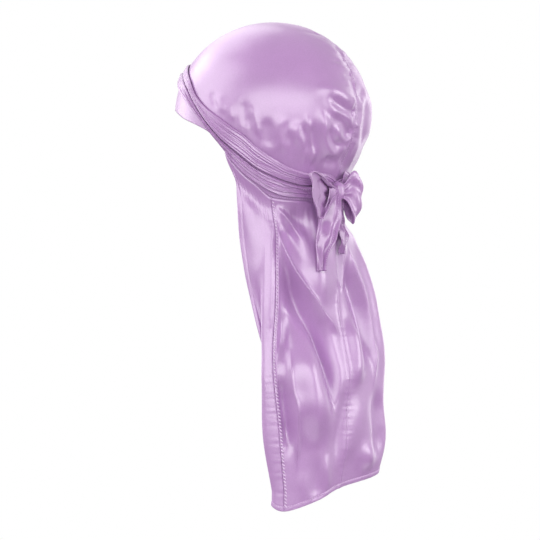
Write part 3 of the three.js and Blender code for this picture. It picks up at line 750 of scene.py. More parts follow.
@dataclass(frozen=True)
class Ties:
    """The two ties that wrap the crown and cross on the forehead and behind."""

    head: Head
    lines: Lines
    columns: int = 440
    rows: int = 46
    wall: float = 0.0008
    pleat: float = 0.0017
    front_cross: float = 26.0
    back_cross: float = 16.0
    ramp: float = 12.0
    weave: tuple[float, float] = (0.56, 0.045)
    rounding: float = 0.0006
    upper_pleat: float = 0.55
    pressed: float = 0.35

    UPPER_FOLDS = (0.0, 0.45, 1.0)
    LOWER_FOLDS = (0.0, 0.2, 0.42, 0.7, 1.0)

    def upper_share(self, azimuth: Array, side: int) -> Array:
        """How much a tie is the upper one: 1 on its own side of the head, 0 on the other."""
        turn = azimuth * side
        behind = smooth((turn + self.back_cross) / (2 * self.back_cross))
        before = smooth((FRONT - np.abs(turn) + self.front_cross) / (2 * self.front_cross))
        front = np.where(turn > 0, before, 1 - before)
        return np.where(np.abs(turn) < FRONT / 2, behind, front)

    def crossing(self, azimuth: Array) -> Array:
        """1 where the ties cross and 0 where they run side by side."""
        away = np.abs(azimuth)
        behind = smooth((self.back_cross + self.ramp - away) / self.ramp)
        before = smooth((away - FRONT + self.front_cross + self.ramp) / self.ramp)
        return np.maximum(behind, before)

    def face(self, side: int, outer: bool) -> Face:
        """The outer face of one tie, as a function of shares round and down."""

        def points(around: Array, down: Array) -> Array:
            azimuth = mix(-FRONT, FRONT, around)
            away = np.abs(azimuth)
            upper = self.upper_share(azimuth, side)
            middle = self.lines.drop("middle", azimuth)
            top = mix(middle, self.lines.drop("top", azimuth), upper) + TIE_GAP
            bottom = mix(self.lines.drop("bottom", azimuth), middle, upper) - TIE_GAP
            cross = self.crossing(azimuth)
            few = self.pleated(azimuth, down, self.UPPER_FOLDS)
            many = self.pleated(azimuth, down, self.LOWER_FOLDS)
            height = mix(many, self.upper_pleat * few, upper) * (1 - self.pressed * cross)
            height = height + self.streaks(np.radians(azimuth), down)
            rounded = np.sqrt(np.clip(1 - (2 * down - 1) ** 8, 0, 1))
            lift = CLOTH + LAYER_GAP + self.pleat * height - self.rounding * (1 - rounded)
            lift = lift + (cross * (CLOTH + LAYER_GAP) if outer else 0)
            return self.head.point(azimuth, mix(top, bottom, down), lift)

        return points

    @staticmethod
    def streaks(turn: Array, down: Array) -> Array:
        """Height of the fine folds along a tie, in pleats, at angles round the head."""
        broad = np.sin(2 * math.pi * (6.3 * down + 0.5 * np.sin(1.7 * turn)))
        fine = np.sin(2 * math.pi * (10.7 * down + 0.4 * np.sin(3.1 * turn)))
        return 0.15 * broad * np.sin(2.9 * turn + 5 * down) + 0.05 * fine

    def pleated(self, azimuth: Array, down: Array, edges: Sequence[float]) -> Array:
        """Height of folds that lie over each other like tiles, from 0 to 1.

        Args:
            azimuth: places round the head.
            down: places across the tie, as shares.
            edges: shares where the folds end.
        """
        turn = np.radians(np.abs(azimuth))
        height = np.zeros_like(down)
        for i, (first, last) in enumerate(zip(edges, edges[1:])):
            drift = 0.06 * np.sin(turn * (2.1 + 0.7 * i) + i)
            drift_next = 0.06 * np.sin(turn * (2.8 + 0.7 * i) + i + 1)
            start = first + (drift if first > 0 else 0)
            stop = last + (drift_next if last < 1 else 0)
            t = (down - start) / (stop - start)
            inside = (t >= 0) & (t < 1)
            full = 0.75 + 0.25 * np.sin(turn * (3.3 + i) + 2 * i)
            tile = np.sin(np.clip(t / 0.8, 0, 1) * math.pi / 2) ** 0.7 * (1 - smooth((t - 0.84) / 0.16))
            height = np.where(inside, full * tile, height)
        return height

    def build(self) -> list[bpy.types.Object]:
        """Makes both ties."""
        made = []
        for side, end in SIDES:
            face = self.face(side, outer=side < 0)
            size = (self.columns, self.rows)
            piece = cloth_piece(f"tie_wrap_{end}", size, self.weave, face, self.wall, closed=True)
            turn_outwards(piece, lambda p: Vector((p.x, p.y, 0)))
            made.append(piece)
        return made


@dataclass(frozen=True)
class Tail:
    """The tail: two panels behind and a gore on each side, below the crown's edge."""

    head: Head
    lines: Lines
    length: float = 0.449
    half_width: float = 0.08
    reach: float = 0.1
    blend: float = 0.034
    wall: float = 0.0006
    columns: int = 120
    gore_columns: int = 70
    rows: int = 270
    tuck: float = 0.003
    under: float = 0.0012
    hem_width: float = 0.0042
    hem_height: float = 0.0006
    sink: float = 0.0012
    settled: float = 0.022
    panel_weave: tuple[float, float] = (0.075, 0.285)
    gore_weave: tuple[float, float] = (0.034, 0.3)

    # The tail is laid out on lines, counted from its centre seam to the left and right.
    CENTRE = 5
    SEAM = 2
    EDGE = 5
    PANEL_LINE = 0.035  # metres in one line of a main panel
    GORE_LINE = 0.011  # and of a gore
    # Columns and rows set closer at the edges: their share and its width.
    CLOSE_PANEL = (0.04, 0.012)
    CLOSE_GORE = (0.05, 0.02)
    CLOSE_DOWN = (0.06, 0.03)
    SEAM_PUCKERS = Puckers(0.00012, 0.0085, 0.005)
    CENTRE_PUCKERS = Puckers(0.00014, 0.0072, 0.004)
    HEM_PUCKERS = Puckers(0.00016, 0.0075, 0.008)
    TOP_PUCKERS = Puckers(0.0004, 0.009, 0.022)

    SECTIONS = curves(
        (
            "drop", "centreOut", "centreBack", "leftOut", "leftBack", "leftSeamOut",
            "leftSeamBack", "rightOut", "rightBack", "rightSeamOut", "rightSeamBack",
        ),
        (
            (0.36, 0.04, 0.69, 0.4, 0.6, 0.66, 0.41, 0.4, 0.6, 0.66, 0.41),
            (0.435, 0.04, 0.755, 0.42, 0.63, 0.65, 0.425, 0.43, 0.685, 0.675, 0.46),
            (0.515, 0.05, 0.775, 0.44, 0.665, 0.69, 0.45, 0.53, 0.765, 0.74, 0.52),
            (0.585, 0.05, 0.78, 0.45, 0.685, 0.73, 0.468, 0.6, 0.85, 0.81, 0.55),
            (0.665, 0.07, 0.86, 0.48, 0.745, 0.8, 0.48, 0.65, 0.895, 0.87, 0.6),
            (0.745, 0.075, 0.92, 0.5, 0.8, 0.85, 0.52, 0.68, 0.915, 0.91, 0.62),
            (0.845, 0.1, 0.9, 0.5, 0.82, 0.84, 0.57, 0.7, 0.945, 0.92, 0.64),
            (0.96, 0.11, 0.835, 0.47, 0.775, 0.8, 0.6, 0.6, 0.86, 0.85, 0.62),
        ),
    )
    GORES = curves(
        ("drop", "kneeOut", "kneeBack", "tuckOut", "tuckBack", "edgeOut", "edgeBack"),
        (
            (0.3, 0.07, -0.1, 0.15, -0.2, 0.21, -0.3),
            (0.435, 0.06, -0.1, 0.155, -0.19, 0.2, -0.3),
            (0.515, 0.045, -0.095, 0.11, -0.18, 0.145, -0.275),
            (0.585, 0.05, -0.08, 0.02, -0.15, 0.07, -0.23),
            (0.665, 0.035, -0.1, -0.07, -0.09, -0.02, -0.14),
            (0.745, 0.045, -0.115, -0.07, -0.09, -0.13, -0.03),
            (0.845, 0.06, -0.15, -0.06, -0.12, -0.13, -0.05),
            (0.96, 0.045, -0.11, -0.06, -0.09, -0.13, -0.03),
        ),
    )
    HEM = Column(range(11), (0.9, 0.9, 0.9, 0.916, 0.942, 0.96, 0.982, 1.0, 0.99, 0.985, 0.985))

    # Folds of the main panels. Across is 0 on the centre seam, 1 on the left gore's seam and -1
    # on the right one's, and down is a share of the tail's length.
    FOLDS = (
        Fold(
            ((0.94, 0.385), (0.72, 0.423), (0.52, 0.468)),
            0.005, (0.006, 0.005), Crest.CRISP, (0.2, 0.7),
        ),
        Fold(((0.88, 0.42), (0.7, 0.458), (0.56, 0.515)), -0.009, (0.008, 0.007), ends=(0.3, 0.7)),
        Fold(
            ((0.8, 0.38), (0.55, 0.41), (0.38, 0.46), (0.34, 0.51)),
            -0.0066, (0.012, 0.011), ends=(0.3, 0.7),
        ),
        Fold(
            (
                (0.97, 0.43), (0.85, 0.47), (0.72, 0.51), (0.58, 0.545),
                (0.45, 0.575), (0.33, 0.6), (0.2, 0.622), (0.03, 0.655),
            ),
            0.0062, (0.009, 0.003), Crest.CRISP, (0.15, 0.15),
        ),
        Fold(
            (
                (0.93, 0.475), (0.74, 0.55), (0.6, 0.6), (0.43, 0.637),
                (0.33, 0.69), (0.27, 0.76), (0.2, 0.83),
            ),
            -0.0165, (0.012, 0.008),
        ),
        Fold(((0.38, 0.47), (0.3, 0.54), (0.2, 0.61)), 0.006, (0.018, 0.016), ends=(0.4, 0.5)),
        Fold(((0.66, 0.62), (0.6, 0.73), (0.54, 0.88)), 0.014, (0.021, 0.02), ends=(0.4, 0.38)),
        Fold(
            ((0.72, 0.8), (0.6, 0.86), (0.45, 0.875), (0.25, 0.85), (0.12, 0.79)),
            -0.0022, (0.018, 0.014), ends=(0.5, 0.5),
        ),
        Fold(
            ((0.78, 0.66), (0.79, 0.75), (0.765, 0.79), (0.775, 0.88), (0.8, 0.93)),
            0.0045, (0.003, 0.0035), Crest.CRISP,
        ),
        Fold(((0.9, 0.73), (0.885, 0.8), (0.88, 0.89)), -0.0086, (0.006, 0.005)),
        Fold(((0.87, 0.59), (0.85, 0.64), (0.86, 0.7)), -0.0063, (0.006, 0.006)),
        Fold(
            ((0.965, 0.4), (0.955, 0.5), (0.95, 0.62), (0.96, 0.8)),
            0.0025, (0.002, 0.004), Crest.CRISP, (0.1, 0.3),
        ),
        Fold(((0.37, 0.89), (0.32, 0.93), (0.28, 0.97)), 0.0022, (0.008, 0.008)),
        Fold(((0.72, 0.92), (0.7, 0.95), (0.68, 0.98)), 0.0014, (0.006, 0.006)),
        Fold(((0.52, 0.89), (0.5, 0.93), (0.5, 0.98)), -0.0018, (0.008, 0.008)),
        Fold(((-0.22, 0.76), (-0.08, 0.84), (0.06, 0.92)), 0.0026, (0.008, 0.008)),
        Fold(((0.0, 0.74), (0.08, 0.82), (0.15, 0.91)), -0.003, (0.009, 0.008)),
        Fold(((-0.055, 0.43), (-0.07, 0.5), (-0.04, 0.57)), -0.0086, (0.004, 0.004)),
        Fold(((-0.13, 0.43), (-0.125, 0.5), (-0.07, 0.568)), 0.0045, (0.003, 0.004), Crest.CRISP),
        Fold(
            ((-0.15, 0.48), (-0.2, 0.55), (-0.255, 0.61), (-0.265, 0.665), (-0.24, 0.72)),
            -0.0105, (0.005, 0.006),
        ),
        Fold(
            ((-0.22, 0.46), (-0.3, 0.53), (-0.335, 0.6), (-0.33, 0.68), (-0.29, 0.77)),
            0.0047, (0.003, 0.004), Crest.CRISP,
        ),
        Fold(((-0.12, 0.61), (-0.13, 0.68), (-0.085, 0.76)), 0.0071, (0.006, 0.005)),
        Fold(
            ((-0.33, 0.755), (-0.36, 0.82), (-0.38, 0.88), (-0.33, 0.92)),
            -0.007, (0.006, 0.007),
        ),
        Fold(((-0.25, 0.87), (-0.29, 0.93)), 0.0063, (0.006, 0.006)),
        Fold(((-0.62, 0.46), (-0.66, 0.7), (-0.64, 0.95)), -0.0095, (0.01, 0.01)),
        Fold(((-0.84, 0.44), (-0.85, 0.7), (-0.82, 0.96)), 0.0056, (0.005, 0.008), Crest.CRISP),
        Fold(((-0.5, 0.42), (-0.5, 0.6), (-0.47, 0.8)), 0.0053, (0.008, 0.008)),
    )
    # Folds of the gores, with lines counted from the centre: 2 on the seam, 5 on the free edge.
    GORE_FOLDS = (
        Fold(
            ((2.8, 0.38), (2.85, 0.48), (2.9, 0.58), (2.8, 0.7)),
            0.005, (0.009, 0.009), ends=(0.3, 0.4),
        ),
        Fold(((4.3, 0.36), (3.9, 0.42), (3.6, 0.5)), 0.002, (0.01, 0.008), ends=(0.3, 0.6)),
    )

    @cached_property
    def drape(self) -> Drape:
        """The broad and the small folds of the main panels."""
        folds = (*with_crest(self.FOLDS, Crest.SOFT), *self.small_folds())
        scale = (self.half_width, self.length)
        return Drape(folds, scale, (-1.05, 0.3), (1.05, 1.03), (340, 420), (0.002, 0.0045))

    def small_folds(self) -> list[Fold]:
        """Small hanging folds over the whole tail."""
        rng = np.random.default_rng(SEED + 4)
        found = []
        for _ in range(20):
            across, first = rng.uniform(-0.95, 0.92), rng.uniform(0.38, 0.85)
            lean, run = rng.uniform(-0.05, 0.16), rng.uniform(0.08, 0.24)
            last = min(first + run, 0.97)
            points = ((across, first), (across - 0.4 * lean, (first + last) / 2), (across - lean, last))
            left, right = rng.uniform(0.003, 0.0075, 2)
            height = rng.uniform(0.0006, 0.0013) * rng.choice((-1, 1))
            found.append(Fold(points, height, (left, right), ends=(0.5, 0.5)))
        return found

    def lines_at(self, drop: Array) -> Array:
        """The lines of a tail section, from the right free edge to the left one, out and back."""
        share = drop / self.length

        def spot(columns: dict[str, Column], name: str, side: int) -> Array:
            out = side * self.half_width * columns[f"{name}Out"](share)
            return np.stack([out, self.reach * columns[f"{name}Back"](share)], axis=-1)

        def half(name: str, side: int) -> list[Array]:
            seam = spot(self.SECTIONS, f"{name}Seam", side)
            parts = [seam + spot(self.GORES, part, side) for part in ("knee", "tuck", "edge")]
            return [spot(self.SECTIONS, name, side), seam, *parts]

        centre = spot(self.SECTIONS, "centre", 1)
        return np.stack([*half("right", -1)[::-1], centre, *half("left", 1)], axis=-2)

    def edges(self, place: Array) -> tuple[Array, Array, Array]:
        """Azimuth on the head, first drop and last drop of the tail at places."""
        away, side = np.abs(place), np.where(place < 0, -1.0, 1.0)
        corner, ear = side * self.lines.corner, side * self.lines.ear
        azimuth = np.where(
            away <= self.SEAM,
            mix(self.lines.seam, corner, away / self.SEAM),
            mix(corner, ear, (away - self.SEAM) / (self.EDGE - self.SEAM)),
        )
        return azimuth, self.lines.tail_top(azimuth), self.length * self.HEM(self.CENTRE + place)

    def plain(self, place: Array, down: Array) -> Array:
        """A point of the outer face without folds, at a place counted in lines from the centre."""
        azimuth, top, hem = self.edges(place)
        drop = mix(top - self.tuck, hem, down)
        lines = self.lines_at(drop)
        lines = np.concatenate(
            [2 * lines[:, :1] - lines[:, 1:2], lines, 2 * lines[:, -1:] - lines[:, -2:-1]], axis=1
        )
        at = np.clip(self.CENTRE + place, 0, 2 * self.CENTRE)
        i = np.minimum(at.astype(int), 2 * self.CENTRE - 1)
        t = (at - i)[:, None]
        rows = np.arange(len(place))
        a, b, c, d = (lines[rows, i + k] for k in range(4))
        hung = b + 0.5 * t * (c - a + t * (2 * a - 5 * b + 4 * c - d + t * (3 * (b - c) + d - a)))
        on_head = self.head.point(azimuth, drop, np.zeros_like(drop))
        free = smooth((drop - top) / self.blend)
        flat = mix(on_head[:, :2], hung, free[:, None])
        return np.concatenate([flat, (CLOTH - drop)[:, None]], axis=1)

    def normal(self, place: Array, down: Array) -> Array:
        """The outward direction of the plain tail."""
        step = 0.01
        inner, outer = np.maximum(place - step, -self.EDGE), np.minimum(place + step, self.EDGE)
        across = self.plain(outer, down) - self.plain(inner, down)
        below, above = np.minimum(down + step, 1), np.maximum(down - step, 0)
        along = self.plain(place, below) - self.plain(place, above)
        return unit(np.cross(across, along))

    def point(self, place: Array, down: Array, lift: Array | float = 0.0) -> Array:
        """A point of the folded outer face, or lifted off it."""
        plain = self.plain(place, down)
        drop = CLOTH - plain[:, 2]
        _, top, hem = self.edges(place)
        share, away = drop / self.length, np.abs(place)
        crisp = with_crest(self.FOLDS, Crest.CRISP)
        main = self.drape.relief(place / self.SEAM, share)
        main = main + folds_relief(crisp, place / self.SEAM, share, self.drape.scale)
        side = folds_relief(self.GORE_FOLDS, away, share, (self.GORE_LINE, self.length))
        main = main * smooth((self.SEAM - away) / 0.12)
        side = side * smooth((away - self.SEAM) / 0.3)
        on_panel, on_gore = (self.SEAM - away) * self.PANEL_LINE, (away - self.SEAM) * self.GORE_LINE
        small = self.SEAM_PUCKERS.relief(drop, np.where(away < self.SEAM, on_panel, on_gore))
        small += self.CENTRE_PUCKERS.relief(drop + 0.01, away * self.PANEL_LINE)
        small += self.HEM_PUCKERS.relief(place * self.PANEL_LINE, hem - drop)
        small += self.TOP_PUCKERS.relief(place * self.PANEL_LINE, drop - top)
        free_edge = np.where(away > self.SEAM, (self.EDGE - away) * self.GORE_LINE, 1.0)
        hemmed = rolled_hem(np.minimum(hem - drop, free_edge), self.hem_width, self.hem_height)
        height = (main + side + small) * smooth((drop - top) / self.settled)
        height = height + self.welt(away * self.PANEL_LINE) + hemmed + lift
        height = height - self.sink * (1 - smooth((drop - top) / self.tuck + 0.4))
        return plain + self.normal(place, down) * height[:, None]

    @staticmethod
    def welt(away: Array) -> Array:
        """Height of the centre seam: a low ridge with a groove where the panels meet."""
        return 0.0007 * np.exp(-((away / 0.0016) ** 2)) - 0.0006 * np.exp(-((away / 0.0004) ** 2))

    def panel_face(self, side: int) -> Face:
        """The outer face of one main panel."""
        first = 0.0 if side > 0 else -0.05

        def points(across: Array, down: Array) -> Array:
            across, down = graded(across, *self.CLOSE_PANEL), graded(down, *self.CLOSE_DOWN)
            place = mix(first, self.SEAM, across)
            tucked = smooth((0.02 - place) / 0.02) if side < 0 else 0.0
            return self.point(side * place, down, -self.under * 0.7 * tucked)

        return points

    def gore_face(self, side: int) -> Face:
        """The outer face of one gore, whose edge lies under the main panel's."""
        under = self.SEAM - 0.08

        def points(across: Array, down: Array) -> Array:
            across, down = graded(across, *self.CLOSE_GORE), graded(down, *self.CLOSE_DOWN)
            place = mix(under, self.EDGE, across)
            tucked = smooth((self.SEAM + 0.05 - place) / 0.08)
            return self.point(side * place, down, -self.under * tucked)

        return points

    def seam_line(self, place: float, first: float = 0.02, last: float = 0.985) -> tuple[Array, Array]:
        """Points and outward directions of a line down the tail at a place."""
        down = np.linspace(first, last, 500)
        at = np.full_like(down, place)
        return self.point(at, down), self.normal(at, down)

    def hem_line(self, first: float, last: float) -> tuple[Array, Array]:
        """Points and outward directions of the stitch line above the hem."""
        place = np.linspace(first, last, 700)
        _, top, hem = self.edges(place)
        down = 1 - self.hem_width / (hem - top + self.tuck)
        return self.point(place, down, 0.0002), self.normal(place, down)

    def build(self) -> list[bpy.types.Object]:
        """Makes the four pieces of the tail."""
        return [
            cloth_piece(
                f"{part}_{end}", (columns, self.rows), weave, face(side), self.wall, flip=side < 0
            )
            for side, end in SIDES
            for part, columns, weave, face in (
                ("tail_panel", self.columns, self.panel_weave, self.panel_face),
                ("tail_gore", self.gore_columns, self.gore_weave, self.gore_face),
            )
        ]


@dataclass(frozen=True)
class LoopShape:
    """Sizes of one loop of the bow.

    Out is the way from the knot to the loop's far end, spread the way that it opens and width the
    way across the band. Neck and far are the band's width at the knot and at the far end. Cup is how
    far the loop still opens at the band's inner edge, before the share of the band that lies towards
    that edge, folds how many folds fan out of the knot and turn where they start. Rounding is how
    much shorter the loop is at the band's edges.
    """

    out: tuple[float, float, float]
    spread: tuple[float, float, float]
    width: tuple[float, float, float]
    length: float
    half_spread: float
    neck: float
    far: float
    before: float
    ripple: float
    folds: float
    cup: float
    turn: float
    rounding: float


@dataclass(frozen=True)
class EndShape:
    """Sizes of one hanging end of the bow.

    Across is the place on the tail that it hangs over at its top and swing how far that moves on the
    way down. Width is the end's greatest width and twist how far its top is turned, in radians. It
    starts aside of the knot's middle, and over the knot's lower side.
    """

    length: float
    across: float
    swing: float
    width: float
    twist: float
    aside: float
    over: float


@dataclass(frozen=True)
class Bow:
    """The bow at the back: a knot, two loops and two hanging ends."""

    head: Head
    lines: Lines
    tail: Tail
    knot: tuple[float, float, float] = (0.0056, 0.006, 0.0085)
    wall: float = 0.0009
    pleat: float = 0.0009
    overlap: float = 0.0034
    clearance: float = 4.4 * CLOTH
    hem: tuple[float, float] = (0.0026, 0.0006)

    # Columns and rows of a loop and of an end, with the woven pattern's width and length.
    LOOP_GRID = ((120, 36), (0.085, 0.03))
    END_GRID = ((80, 32), (0.062, 0.018))
    # How far from the knot's middle the inside of each loop lies, left positive.
    INSIDE = {"left": 0.012, "right": -0.009}
    # Width of an end at the knot and at its tip, as shares, and how far down it is widest.
    END_ROOT = 0.42
    END_TIP = 0.3
    END_WIDEST = 0.42
    LOOPS = {
        "left": LoopShape(
            out=(0.95, -0.31, 0.0), spread=(0.22, 0.0, 0.97), width=(0.7, 0.71, -0.05),
            length=0.032, half_spread=0.0225, neck=0.011, far=0.014, before=0.25,
            ripple=0.0034, folds=2.1, cup=0.24, turn=0.4, rounding=0.1,
        ),
        "right": LoopShape(
            out=(-0.97, 0.24, 0.0), spread=(0.24, 0.97, 0.0), width=(0.0, 0.0, 1.0),
            length=0.0235, half_spread=0.0055, neck=0.013, far=0.044, before=0.54,
            ripple=0.0013, folds=2.3, cup=0.8, turn=1.1, rounding=0.33,
        ),
    }
    ENDS = {
        "left": EndShape(
            length=0.076, across=0.16, swing=0.56, width=0.024, twist=-0.6, aside=0.0095, over=0.012
        ),
        "right": EndShape(
            length=0.05, across=-0.26, swing=0.08, width=0.016, twist=-0.1, aside=-0.004, over=0.002
        ),
    }

    def centre(self) -> Vector:
        """The middle of the knot."""
        drop = (self.lines.drop("top", 0.0) + self.lines.drop("bottom", 0.0) + self.knot[2]) / 2
        lift = 2 * (CLOTH + LAYER_GAP) + self.pleat
        seat = self.head.point(*(np.array([value]) for value in (self.lines.seam, drop, lift)))[0]
        return Vector(seat) + Vector((0, self.knot[1], 0))

    def build_knot(self) -> bpy.types.Object:
        """Makes the wound knot."""
        bm = bmesh.new()
        bmesh.ops.create_uvsphere(bm, u_segments=64, v_segments=40, radius=1.0)
        centre = self.centre()
        for v in bm.verts:
            x, y, z = v.co
            turn = math.atan2(x, y)
            wound = 1 - 0.09 * (1 - z * z) * abs(math.sin(turn * 2.5 + z * 1.2))
            v.co = centre + Vector(
                (
                    self.knot[0] * math.copysign(abs(x) ** 0.8, x) * wound,
                    self.knot[1] * y * wound,
                    self.knot[2] * math.copysign(abs(z) ** 0.8, z),
                )
            )
        piece = finished_object("bow_knot_satin", bm)
        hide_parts("bow_knot")
        return piece

    def loop_face(self, loop: LoopShape) -> Face:
        """The outer face of a loop, as a function of shares along the band and across it."""
        out, spread, width = Vector(loop.out), Vector(loop.spread), Vector(loop.width)
        origin = np.array(self.centre() + out * (self.knot[0] - self.overlap))
        lean = np.array((0, 0.002, -0.006))

        def points(along: Array, share: Array) -> Array:
            turn = mix(-1, 1, along)
            reach = np.cos(turn * math.pi / 2)
            flare = mix(loop.cup, 1.1, share**0.7)
            opened = loop.half_spread * mix(0.35, 1.0, reach) * mix(1.0, flare, reach)
            side = np.sin(turn * math.pi) * opened + turn * 2 * CLOTH
            wide = mix(loop.neck, loop.far, smooth(reach * 1.15))
            rounded = 1 - loop.rounding * (2 * share - 1) ** 2
            drift = 0.35 * np.sin(2.6 * turn + loop.turn)
            fan = np.sin(2 * math.pi * (loop.folds * share + drift) + loop.turn)
            gathers = np.sin(2 * math.pi * 3.0 * share + turn) * smooth((0.55 - reach) / 0.5)
            rumple = np.sin((5.3 * along + 0.8 * share) * math.pi + loop.turn) * (0.3 + 0.7 * share)
            rumple = rumple + 0.7 * np.sin((11.7 * along - 1.4 * share) * math.pi) * (1.2 - loop.cup)
            wave = reach * (loop.ripple * fan + 0.7 * loop.ripple * rumple) + 0.0009 * gathers
            edge = np.minimum(share, 1 - share) * wide
            roll = 0.0006 * np.exp(-(((edge - 0.0016) / 0.0009) ** 2))
            broad = share * wide - mix(loop.neck / 2, wide * loop.before, reach)
            away = loop.length * reach * rounded * mix(1.0, flare, 0.75)
            far = smooth((reach - 0.55) / 0.4)
            return (
                origin
                + np.outer(away + (wave * 0.8 + roll) * far, out)
                + np.outer(side + (wave + roll) * np.sign(turn) * (1 - far) + 0.4 * wave * far, spread)
                + np.outer(broad, width)
                + np.outer(reach, lean)
            )

        return points

    def end_face(self, end: EndShape) -> Face:
        """The face of a hanging end, as a function of shares down and across."""
        centre = self.centre()
        top = centre.z - self.knot[2] - SEAM_GAP + end.over
        start = float(self.lines.tail_top(np.array(self.lines.seam)))

        def points(down: Array, share: Array) -> Array:
            place = end.across + end.swing * down
            drop = CLOTH - top + end.length * down
            hem = self.tail.length * self.tail.HEM(self.tail.CENTRE + place)
            hung = np.maximum((drop - start) / (hem - start), 0)
            on_tail, normal = self.tail.point(place, hung), self.tail.normal(place, hung)
            free = smooth(down * 1.5)
            taper = mix(1, self.END_TIP, smooth((down - self.END_WIDEST) / (1 - self.END_WIDEST)))
            wide = end.width * mix(self.END_ROOT, 1, smooth(down * 2.6)) * taper
            turn = end.twist * (1 - down)
            level = np.zeros_like(free)
            out = unit(np.stack([normal[:, 0] * free, normal[:, 1], level], axis=-1))
            along = np.stack([out[:, 1], -out[:, 0], level], axis=-1)
            clear = self.clearance + np.abs(np.sin(turn)) * wide / 2
            middle = on_tail + out * clear[:, None]
            middle[:, 2] = top - end.length * down
            front = centre.y + (CLOTH if end.over > self.knot[2] else 0.0)
            middle[:, 1] = np.maximum(middle[:, 1], mix(front, middle[:, 1], free))
            middle[:, 0] = mix(centre.x + end.aside, middle[:, 0], smooth(down * 2))
            waves = np.cos((share - 0.5 + 0.1 * np.sin(5 * down)) * 3.6 * math.pi)
            crease = 1.2 * CLOTH * waves * mix(0.5, 1, smooth(down * 4))
            crease = crease + 0.0007 * np.sin(down * 21 + share * 4) * smooth(down * 3)
            edge = np.minimum(share, 1 - share) * wide
            hemmed = rolled_hem(np.minimum(edge, (1 - down) * end.length), *self.hem)
            return (
                middle
                + along * (np.cos(turn) * (share - 0.5) * wide)[:, None]
                + out * (np.sin(turn) * (share - 0.5) * wide + crease + hemmed)[:, None]
            )

        return points

    def faces(self) -> dict[str, Face]:
        """The faces of the loops and the ends."""
        loops = {f"bow_loop_{end}": self.loop_face(shape) for end, shape in self.LOOPS.items()}
        return loops | {f"tie_end_{end}": self.end_face(shape) for end, shape in self.ENDS.items()}

    def build(self) -> list[bpy.types.Object]:
        """Makes the knot, the loops and the ends."""
        made = [self.build_knot()]
        for name, face in self.faces().items():
            looped = "loop" in name
            size, weave = self.LOOP_GRID if looped else self.END_GRID
            piece = cloth_piece(name, size, weave, face, self.wall)
            inside = self.centre() + Vector((self.INSIDE[name.split("_")[-1]], 0, 0))
            if looped:
                turn_outwards(piece, lambda p, inside=inside: p - inside)
            else:
                turn_outwards(piece, lambda p: Vector((0, 1, 0)))
            made.append(piece)
        return made


def new_group(
    name: str, inputs: Sequence[tuple[str, str]], outputs: Sequence[tuple[str, str]]
) -> bpy.types.NodeTree:
    """An empty node group with its sockets.

    Args:
        name: the group's name.
        inputs: names and kinds of its inputs.
        outputs: names and kinds of its outputs.
    """
    group = bpy.data.node_groups.new(name, "ShaderNodeTree")
    for way, sockets in (("INPUT", inputs), ("OUTPUT", outputs)):
        for socket, kind in sockets:
            group.interface.new_socket(name=socket, in_out=way, socket_type=f"NodeSocket{kind}")
    group.nodes.new("NodeGroupInput").name = "in"
    group.nodes.new("NodeGroupOutput").name = "out"
    return group


def add_node(
    tree: bpy.types.NodeTree, kind: str, values: dict | None = None, **settings: object
) -> bpy.types.Node:
    """A node with its values set and its inputs linked.

    Args:
        tree: where it goes.
        kind: its type, without the leading ShaderNode.
        values: values or sockets for its inputs, by name or number.
        settings: properties of the node itself.
    """
    node = tree.nodes.new(f"ShaderNode{kind}")
    for key, value in settings.items():
        setattr(node, key, value)
    for key, value in (values or {}).items():
        if isinstance(value, bpy.types.NodeSocket):
            tree.links.new(value, node.inputs[key])
        else:
            node.inputs[key].default_value = value
    return node


def cloth_variation() -> bpy.types.NodeTree:
    """The group that makes a colour and a roughness vary softly over a finish."""
    group = new_group(
        "soft_variation",
        (
            ("Place", "Vector"), ("Dark", "Color"), ("Light", "Color"),
            ("Smooth", "Float"), ("Rough", "Float"),
        ),
        (("Color", "Color"), ("Roughness", "Float")),
    )
    given, out = group.nodes["in"].outputs, group.nodes["out"].inputs
    broad = add_node(group, "TexNoise", {"Vector": given["Place"], "Scale": 22.0, "Detail": 3.0})
    fine = add_node(group, "TexNoise", {"Vector": given["Place"], "Scale": 900.0, "Detail": 2.0})
    both = add_node(group, "Math", {0: broad.outputs["Fac"], 1: fine.outputs["Fac"]}, operation="ADD")
    ramp = {"Value": both.outputs[0], "From Min": 0.65, "From Max": 1.35}
    share = add_node(group, "MapRange", ramp, interpolation_type="SMOOTHSTEP")
    shades = {"Factor": share.outputs[0], "A": given["Dark"], "B": given["Light"]}
    tint = add_node(group, "Mix", shades, data_type="RGBA")
    ramp = {"Value": broad.outputs["Fac"], "From Min": 0.3, "From Max": 0.7}
    rough = add_node(group, "MapRange", ramp | {"To Min": given["Smooth"], "To Max": given["Rough"]})
    group.links.new(tint.outputs["Result"], out["Color"])
    group.links.new(rough.outputs[0], out["Roughness"])
    return group


